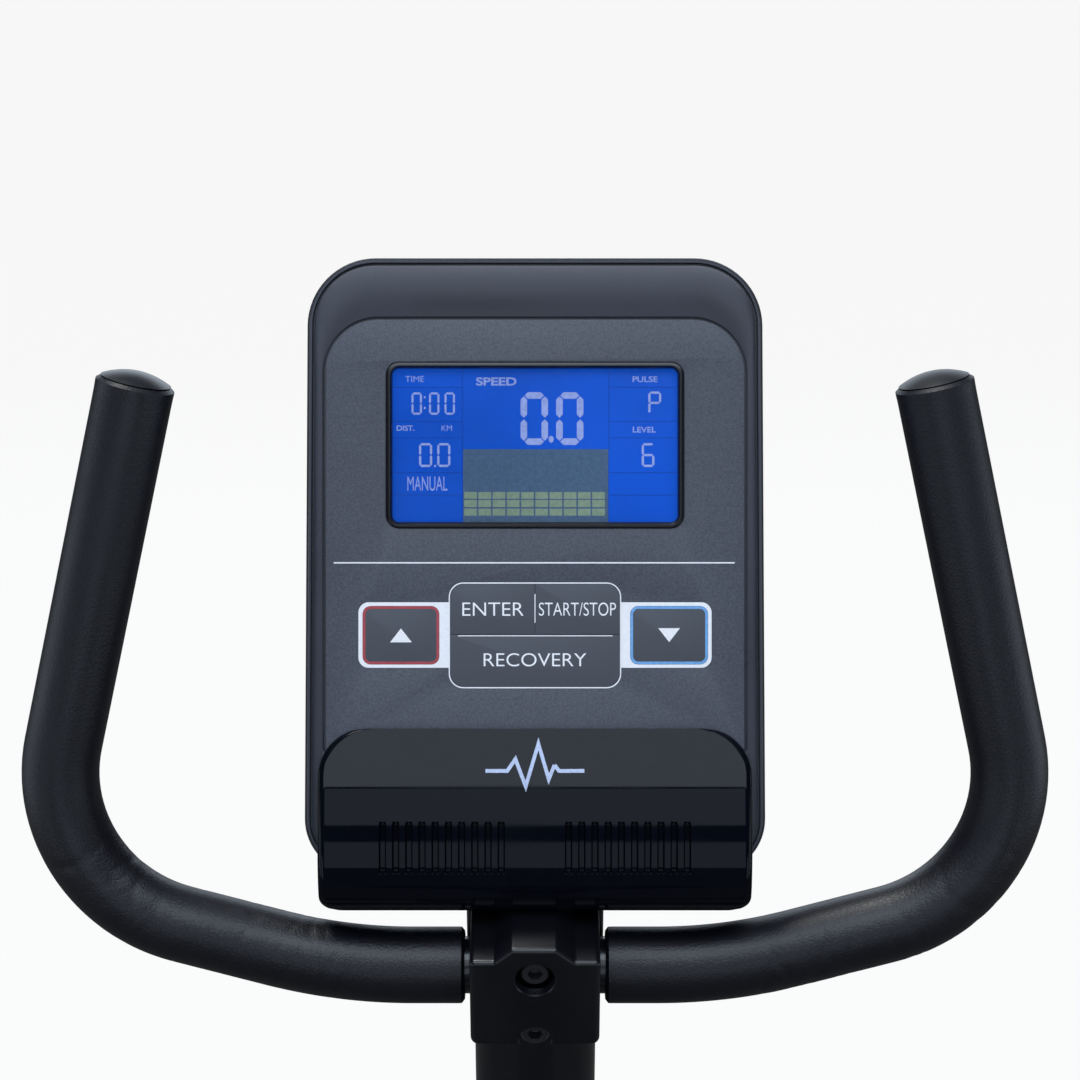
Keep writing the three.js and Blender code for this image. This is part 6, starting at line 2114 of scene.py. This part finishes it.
# ---------------------------------------------------------------- seat
@dataclass
class Seat:
    """The sleeve, the seat post, the sliding carriage, the knobs and the saddle."""

    place: Placement
    rail_y: float = -0.24187
    rail_z: float = 0.762
    rail_top: float = 0.784
    knob_y: float = 0.280
    base_low: float = 0.7903
    pad_low: float = 0.8086
    nose: float = -0.0919
    rear: float = -0.3669
    half: float = 0.112

    def build(self) -> None:
        """Make every piece of the seat."""
        sleeve = [(0.185, 0.0193), (0.185, 0.0262), (0.3053, 0.0262), (0.3053, 0.0322),
                  (0.3062, 0.033),
                  (0.3135, 0.033), (0.3158, 0.0318), (0.3170, 0.0290), (0.3170, 0.0203),
                  (0.3162, 0.0193)]
        body = lathe("sleeve", sleeve, (0, 0, 0), "y", 64, self.place)
        hole = lathe("hole", rod(0.0063, -0.06, -0.01), (0, self.knob_y, 0), "z", 24, self.place)
        piece = carve(body, hole)
        piece.name = "tube_sleeve"
        dress(piece, PLASTIC, Body.FRAME, "seat_sleeve")
        self.post()
        self.knobs()
        self.carriage()
        Saddle(self).build()

    def post(self) -> None:
        """The seat post, with its row of holes, and the rail on its top."""
        tube = lathe("tube", pipe(0.019, 0.0165, 0.075, 0.478), (0, 0, 0), "y", 64, self.place)
        holes = [lathe("hole", rod(0.0052, -0.03, -0.012), (0, y, 0), "z", 24, self.place)
                 for y in np.arange(0.150, 0.420, 0.0225)]
        tube = carve(tube, merged("holes", holes))
        y, z = self.rail_y, self.rail_z
        rail = plate("rail",
                     lambda inset: rounded(rect(-0.018, 0.018, z, self.rail_top), 0.003, 5, inset),
                     y - 0.095, y + 0.095, 0.0015, ROW, "y")
        caps = [plate("cap", lambda inset: rounded(rect(-0.0175, 0.0175, z + 0.0005,
                                                        self.rail_top - 0.0005),
                                                   0.003, 5, inset), *sorted((e, e + o * 0.003)),
                      0.0012,
                      ROW, "y") for e, o in ((y - 0.095, -1), (y + 0.095, 1))]
        dress(merged("post_and_rail", [tube, rail]), PAINT, Body.SEAT_POST, "seat_post")
        dress(merged("rail_ends", caps), PLASTIC, Body.SEAT_POST)

    def knobs(self) -> None:
        """The sprung height knob and the slide knob, each with scalloped grips."""
        at = self.knob_y
        pin = lathe("pin", rod(0.005, -0.050, -0.0196, 0.0015), (0, at, 0), "z", 32, self.place)
        head = self.scalloped("head", 0.019, -0.074, -0.046, 7, "z", (0, at, 0), self.place)
        neck = lathe("neck", rod(0.0105, -0.047, -0.0395, 0.0012), (0, at, 0), "z", 40, self.place)
        dress(merged("height_pull", [head, pin, neck]), PLASTIC, Body.HEIGHT_KNOB, "height_knob")
        centre = (0, self.rail_y, self.rail_z + 0.011)
        pin = lathe("pin", rod(0.005, 0.0188, 0.030), centre, "x", 32)
        head = self.scalloped("head", 0.016, 0.027, 0.046, 6, "x", centre, ROW)
        dress(merged("slide_grip", [head, pin]), PLASTIC, Body.SLIDER_KNOB, "slider_knob")

    def scalloped(self, name: str, radius: float, low: float, high: float, lobes: int, axis: str,
                  centre: Sequence[float], place: Placement) -> bpy.types.Object:
        """A knob with soft lobes: its radius falls by a share of a cosine round the axis.

        Args:
            name: The piece's name.
            radius: The radius at each lobe.
            low: Its inner face, along the axis.
            high: Its outer face.
            lobes: How many lobes it has.
            axis: z or x.
            centre: The point where the distance is nought.
            place: The frame that it is in.

        Returns:
            The new object.
        """
        turn = np.linspace(0, 2 * pi, 112, endpoint=False)

        def outline(inset: float) -> Array:
            """The lobed outline, drawn in by an inset."""
            r = radius * (1 - 0.075 * (1 - np.cos(lobes * turn))) - inset
            return np.column_stack([r * np.cos(turn), r * np.sin(turn)])

        rings = Edge(0.003, 6).rise(low) + Edge(0.003, 6).fall(high)
        loops = np.array([raised(outline(inset), run) for inset, run in rings])
        order = [0, 1, 2] if axis == "z" else [2, 0, 1]
        return loft(name, place.world(loops[..., order] + np.array(centre)))

    def carriage(self) -> None:
        """The carriage: a channel over the rail, with lips, and a hole for the slide knob's pin."""
        y, low, top = self.rail_y, self.rail_z + 0.002, self.rail_top + 0.006
        gap = 0.0183
        outer = [(-0.026, low), (-gap, low), (-gap, self.rail_top + 0.0003),
                 (gap, self.rail_top + 0.0003),
                 (gap, low), (0.026, low), (0.026, top), (-0.026, top)]
        radii = (0.001, 0.001, 0.001, 0.001, 0.001, 0.001, 0.003, 0.003)
        body = plate("channel", lambda inset: rounded(outer, radii, 4, inset), y - 0.050, y + 0.050,
                     0.0008, ROW, "y")
        hole = lathe("hole", rod(0.0054, 0.010, 0.040), (0, y, self.rail_z + 0.011), "x", 24)
        piece = carve(body, hole)
        piece.name = "rail_carriage"
        dress(piece, PAINT, Body.SADDLE, "slider_carriage")


@dataclass
class Saddle:
    """The saddle: a moulded base under a padded top with a channel down its middle."""

    seat: Seat
    rings: int = 46
    around: int = 144

    def outline(self, inset: float) -> Array:
        """The saddle seen from above: a round nose, hollow flanks and a broad rear.

        Three Bezier curves for its right half, mirrored for its left, at even distances. Each point
        is then moved in along its own normal.
        """
        n, r, h = self.seat.nose, self.seat.rear, self.seat.half
        curves = (
            ((0, n), (0.030, n), (0.034, n - 0.040), (0.038, n - 0.075)),
            ((0.038, n - 0.075), (0.046, n - 0.130), (h, r + 0.130), (h, r + 0.062)),
            ((h, r + 0.062), (h, r + 0.012), (0.060, r), (0, r)),
        )
        t = np.linspace(0, 1, 60)[:, None]
        run = [(1 - t) ** 3 * a + 3 * t * (1 - t) ** 2 * b + 3 * t**2 * (1 - t) * c + t**3 * d
               for a, b, c, d in (np.array(curve) for curve in curves)]
        right = np.concatenate([run[0], run[1][1:], run[2][1:]])
        whole = np.concatenate([right, (right * (-1, 1))[-2:0:-1]])
        loop = even(np.column_stack([np.concatenate([whole, whole[:1]]), np.zeros(len(whole) + 1)]),
                    self.around + 1)[:-1, :2]
        along = np.roll(loop, -1, 0) - np.roll(loop, 1, 0)
        along /= np.linalg.norm(along, axis=1, keepdims=True)
        return loop + np.column_stack([along[:, 1], -along[:, 0]]) * inset

    def build(self) -> None:
        """Make the base, the pad, the seam and the stitches."""
        low = self.seat.base_low
        base = plate("saddle_shell", lambda inset: self.outline(0.009 + inset), low, low + 0.018,
                     (0.006, 0.001), ROW, "z", 6)
        dress(base, SHELL_PLASTIC, Body.SADDLE, "saddle_base")
        self.pad()
        self.piping()
        for i, y in enumerate((self.seat.rail_y - 0.035, self.seat.rail_y + 0.035)):
            for side in Side:
                nut = lathe(f"saddle_bolt_{i}_{side.label}", [(-0.0045, 0.0), (-0.0045, 0.0042),
                            (-0.0038, 0.005), (0.0, 0.005), (0.0, 0.0)],
                            (side.value * 0.040, y, low), "z", 6)
                dress(nut, BOLT, Body.SADDLE)

    def height(self, x: Array, y: Array, rim: Array) -> Array:
        """The pad's top: a crown that falls to its rim, lower at the nose, with a soft channel.

        The crown is one minus the fourth power of the distance out from the middle. The channel is
        a bell across the middle that fades before the nose and before the rear edge, and the two
        seat lobes are broad bells on either side of it.
        """
        s = self.seat
        run = (y - s.rear) / (s.nose - s.rear)
        crown = (1 - rim**4) ** 0.6
        body = (0.036 + 0.012 * np.exp(-(((run - 0.14) / 0.22) ** 2))
                - 0.004 * np.clip(run - 0.6, 0, 1))
        groove = np.exp(-((x / 0.0095) ** 2)) * np.clip((run - 0.10) * 6, 0, 1) * np.clip(
            (0.86 - run) * 6, 0, 1)
        lobes = np.exp(-(((np.abs(x) - 0.058) / 0.026) ** 2) - ((run - 0.24) / 0.20) ** 2)
        seam = np.exp(-(((rim - 0.78) / 0.020) ** 2))
        return crown * (body - 0.0072 * groove + 0.0045 * lobes) - 0.0013 * seam

    def ring(self, share: float) -> Array:
        """A closed line on the pad's top, a share of the way out from its spine to its edge."""
        s = self.seat
        edge = self.outline(0.0)
        spine = np.column_stack([np.zeros(self.around), np.clip(edge[:, 1], s.rear + 0.070,
                                                                s.nose - 0.036)])
        flat = spine + (edge - spine) * share
        rise = self.height(flat[:, 0], flat[:, 1], np.full(self.around, share))
        return np.column_stack([flat, s.pad_low + 0.0182 + rise * 0.86])

    def pad(self) -> None:
        """The padded top: the outline drawn to a spine, ring by ring, over a rolled side."""
        s = self.seat
        share = np.sin(np.linspace(0, pi / 2, self.rings))[::-1]
        side = [(0.0150, 0.0), (0.0085, 0.0), (0.0062, 0.0012), (0.0042, 0.0042), (0.0022, 0.0092),
                (0.0008, 0.0142), (0.0, 0.0182)]
        loops = [raised(self.outline(inset), s.pad_low + z) for inset, z in side]
        loops += [self.ring(k) for k in share[1:]]
        piece = loft("saddle_cushion", np.array(loops), sharp=60)
        smooth = piece.modifiers.new("smooth", "SUBSURF")
        smooth.levels = smooth.render_levels = 1
        dress(piece, SKIN, Body.SADDLE, "saddle_pad")

    def piping(self) -> None:
        """A corded seam round the side, and a row of stitches above it."""
        s = self.seat
        loop = self.outline(-0.0002)
        path = raised(loop, s.pad_low + 0.0150)
        ring = circle(0.0016, 10)
        along = np.roll(path, -1, 0) - np.roll(path, 1, 0)
        along /= np.linalg.norm(along, axis=1, keepdims=True)
        out = np.column_stack([along[:, 1], -along[:, 0], np.zeros(len(path))])
        up = np.array([0, 0, 1.0])
        tube = path[:, None] + ring[None, :, :1] * out[:, None] + ring[None, :, 1:] * up
        dress(loft("saddle_piping", tube, closed=True), SKIN, Body.SADDLE)
        self.stitches("saddle_stitches_low", raised(self.outline(0.0), s.pad_low + 0.0196), 221)
        self.stitches("saddle_stitches_top", self.ring(0.83) + (0, 0, 0.0002), 181)

    @staticmethod
    def stitches(name: str, line: Array, count: int) -> None:
        """A row of stitches along a closed line, each a small bar that follows it."""
        fine = even(np.concatenate([line, line[:1]]), count)[:-1]
        ahead = np.roll(fine, -1, 0) - fine
        ahead /= np.linalg.norm(ahead, axis=1, keepdims=True)
        side = np.cross(ahead, (0, 0, 1.0))
        side /= np.linalg.norm(side, axis=1, keepdims=True)
        up = np.cross(side, ahead)
        bar = np.array([(a, b, c) for c in (-0.00035, 0.00045) for a, b in (
            (-0.0013, -0.0003), (0.0013, -0.0003), (0.0013, 0.0004), (-0.0013, 0.0004))])
        points = (fine[:, None] + bar[None, :, :1] * ahead[:, None]
                  - bar[None, :, 1:2] * side[:, None] + bar[None, :, 2:] * up[:, None])
        faces = np.array([(0, 3, 2, 1), (4, 5, 6, 7), (0, 1, 5, 4), (1, 2, 6, 5), (2, 3, 7, 6),
                          (3, 0, 4, 7)])
        every = (faces[None] + 8 * np.arange(len(fine))[:, None, None]).reshape(-1, 4).tolist()
        dress(mesh_piece(name, points, every), THREAD, Body.SADDLE)


# ---------------------------------------------------------------- drive
SLOT_FINISH = {
    "frame_paint": PAINT, "bar_paint": BAR_PAINT, "plastic_black": PLASTIC, "cover_gloss": GLOSS,
    "bezel_plastic": BEZEL, "overlay_film": OVERLAY, "key_film": KEY_FILM, "lens": LCD_PANEL,
    "lcd": LCD_BLUE, "board": BOARD, "foam": FOAM, "steel": STEEL, "bolt_black": BOLT,
    "cast_iron": IRON, "belt_rubber": BELT_RUBBER, "wheel_rubber": WHEEL_RUBBER,
    "saddle_skin": SKIN, "cable_rubber": CABLE,
}


def finish_packed_nodes() -> None:
    """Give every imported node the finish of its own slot; the drive inside the shells shows them."""
    for part in FRAME["record"]["subparts"]:
        restyle(part["node"], SLOT_FINISH[part["material_slot"]])


# ---------------------------------------------------------------- the whole bike
def joint_named(name: str) -> dict:
    """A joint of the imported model."""
    return next(joint for joint in FRAME["joints"] if joint["name"] == name)


def console_placement() -> Placement:
    """Where the console stands, from its keys' axis and the middle of its window."""
    joint = joint_named("key_enter_press")
    turn = np.degrees(np.arctan2(-joint["axis"][1], joint["axis"][2]))
    low, high = (np.array(corner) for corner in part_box("display_lens"))
    window_middle = np.array([0, 0.0605, 0.0023])
    centre = (low + high) / 2 - window_middle @ Placement((0, 0, 0), turn).axes()
    return Placement((0.0, float(centre[1]), float(centre[2])), float(turn))


def post_placement() -> Placement:
    """Where the clamp stands: on the handlebar's tilt axis, leaning with the post."""
    return Placement(tuple(joint_named("handlebar_tilt")["pos_m"]), 98.0)


def seat_placement() -> Placement:
    """Where the seat tube stands: y runs up along the seat post's slide, from the crank's height.

    The sleeve's rearmost point is on its flange, so the foot's place along the bike is that point,
    brought in to the flange's middle and then drawn back along the slide.
    """
    flange_radius, flange_height = 0.033, 0.317
    axis = np.array(joint_named("seat_height")["axis"], float)
    turn = float(np.degrees(np.arctan2(axis[2], axis[1])))
    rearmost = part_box("seat_sleeve")[0][1]
    middle = rearmost + flange_radius * abs(axis[2]) - flange_height * axis[1]
    foot = joint_named("crank_spin")["pos_m"][2]
    return Placement((0.0, round(float(middle), 4), round(float(foot), 4)), turn)


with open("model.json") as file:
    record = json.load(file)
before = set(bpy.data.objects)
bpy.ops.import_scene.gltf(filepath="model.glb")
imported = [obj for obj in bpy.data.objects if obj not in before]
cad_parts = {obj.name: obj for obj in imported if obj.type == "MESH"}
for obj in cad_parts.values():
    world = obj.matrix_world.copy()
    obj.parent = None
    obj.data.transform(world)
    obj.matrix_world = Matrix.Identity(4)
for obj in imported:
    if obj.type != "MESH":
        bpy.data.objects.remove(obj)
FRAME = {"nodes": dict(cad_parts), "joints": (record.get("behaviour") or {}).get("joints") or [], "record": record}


def main() -> None:
    """Build the bike, piece by piece."""
    logging.basicConfig(level=logging.INFO, format="%(message)s")
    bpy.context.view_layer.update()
    Studio().build()
    finish_packed_nodes()
    console, post = console_placement(), post_placement()
    LOG.info("console at %s, post at %s", console, post)
    Console(console).build()
    middle = console.local(np.array(post.origin))
    Handlebar(console, (float(middle[1]), float(middle[2]))).build()
    Clamp(post).build()
    seat = seat_placement()
    LOG.info("seat at %s", seat)
    Post(post, console).build()
    Base().build()
    Frame(seat, post).build()
    Crank().build()
    Seat(seat).build()


if __name__ == "__main__":
    main()
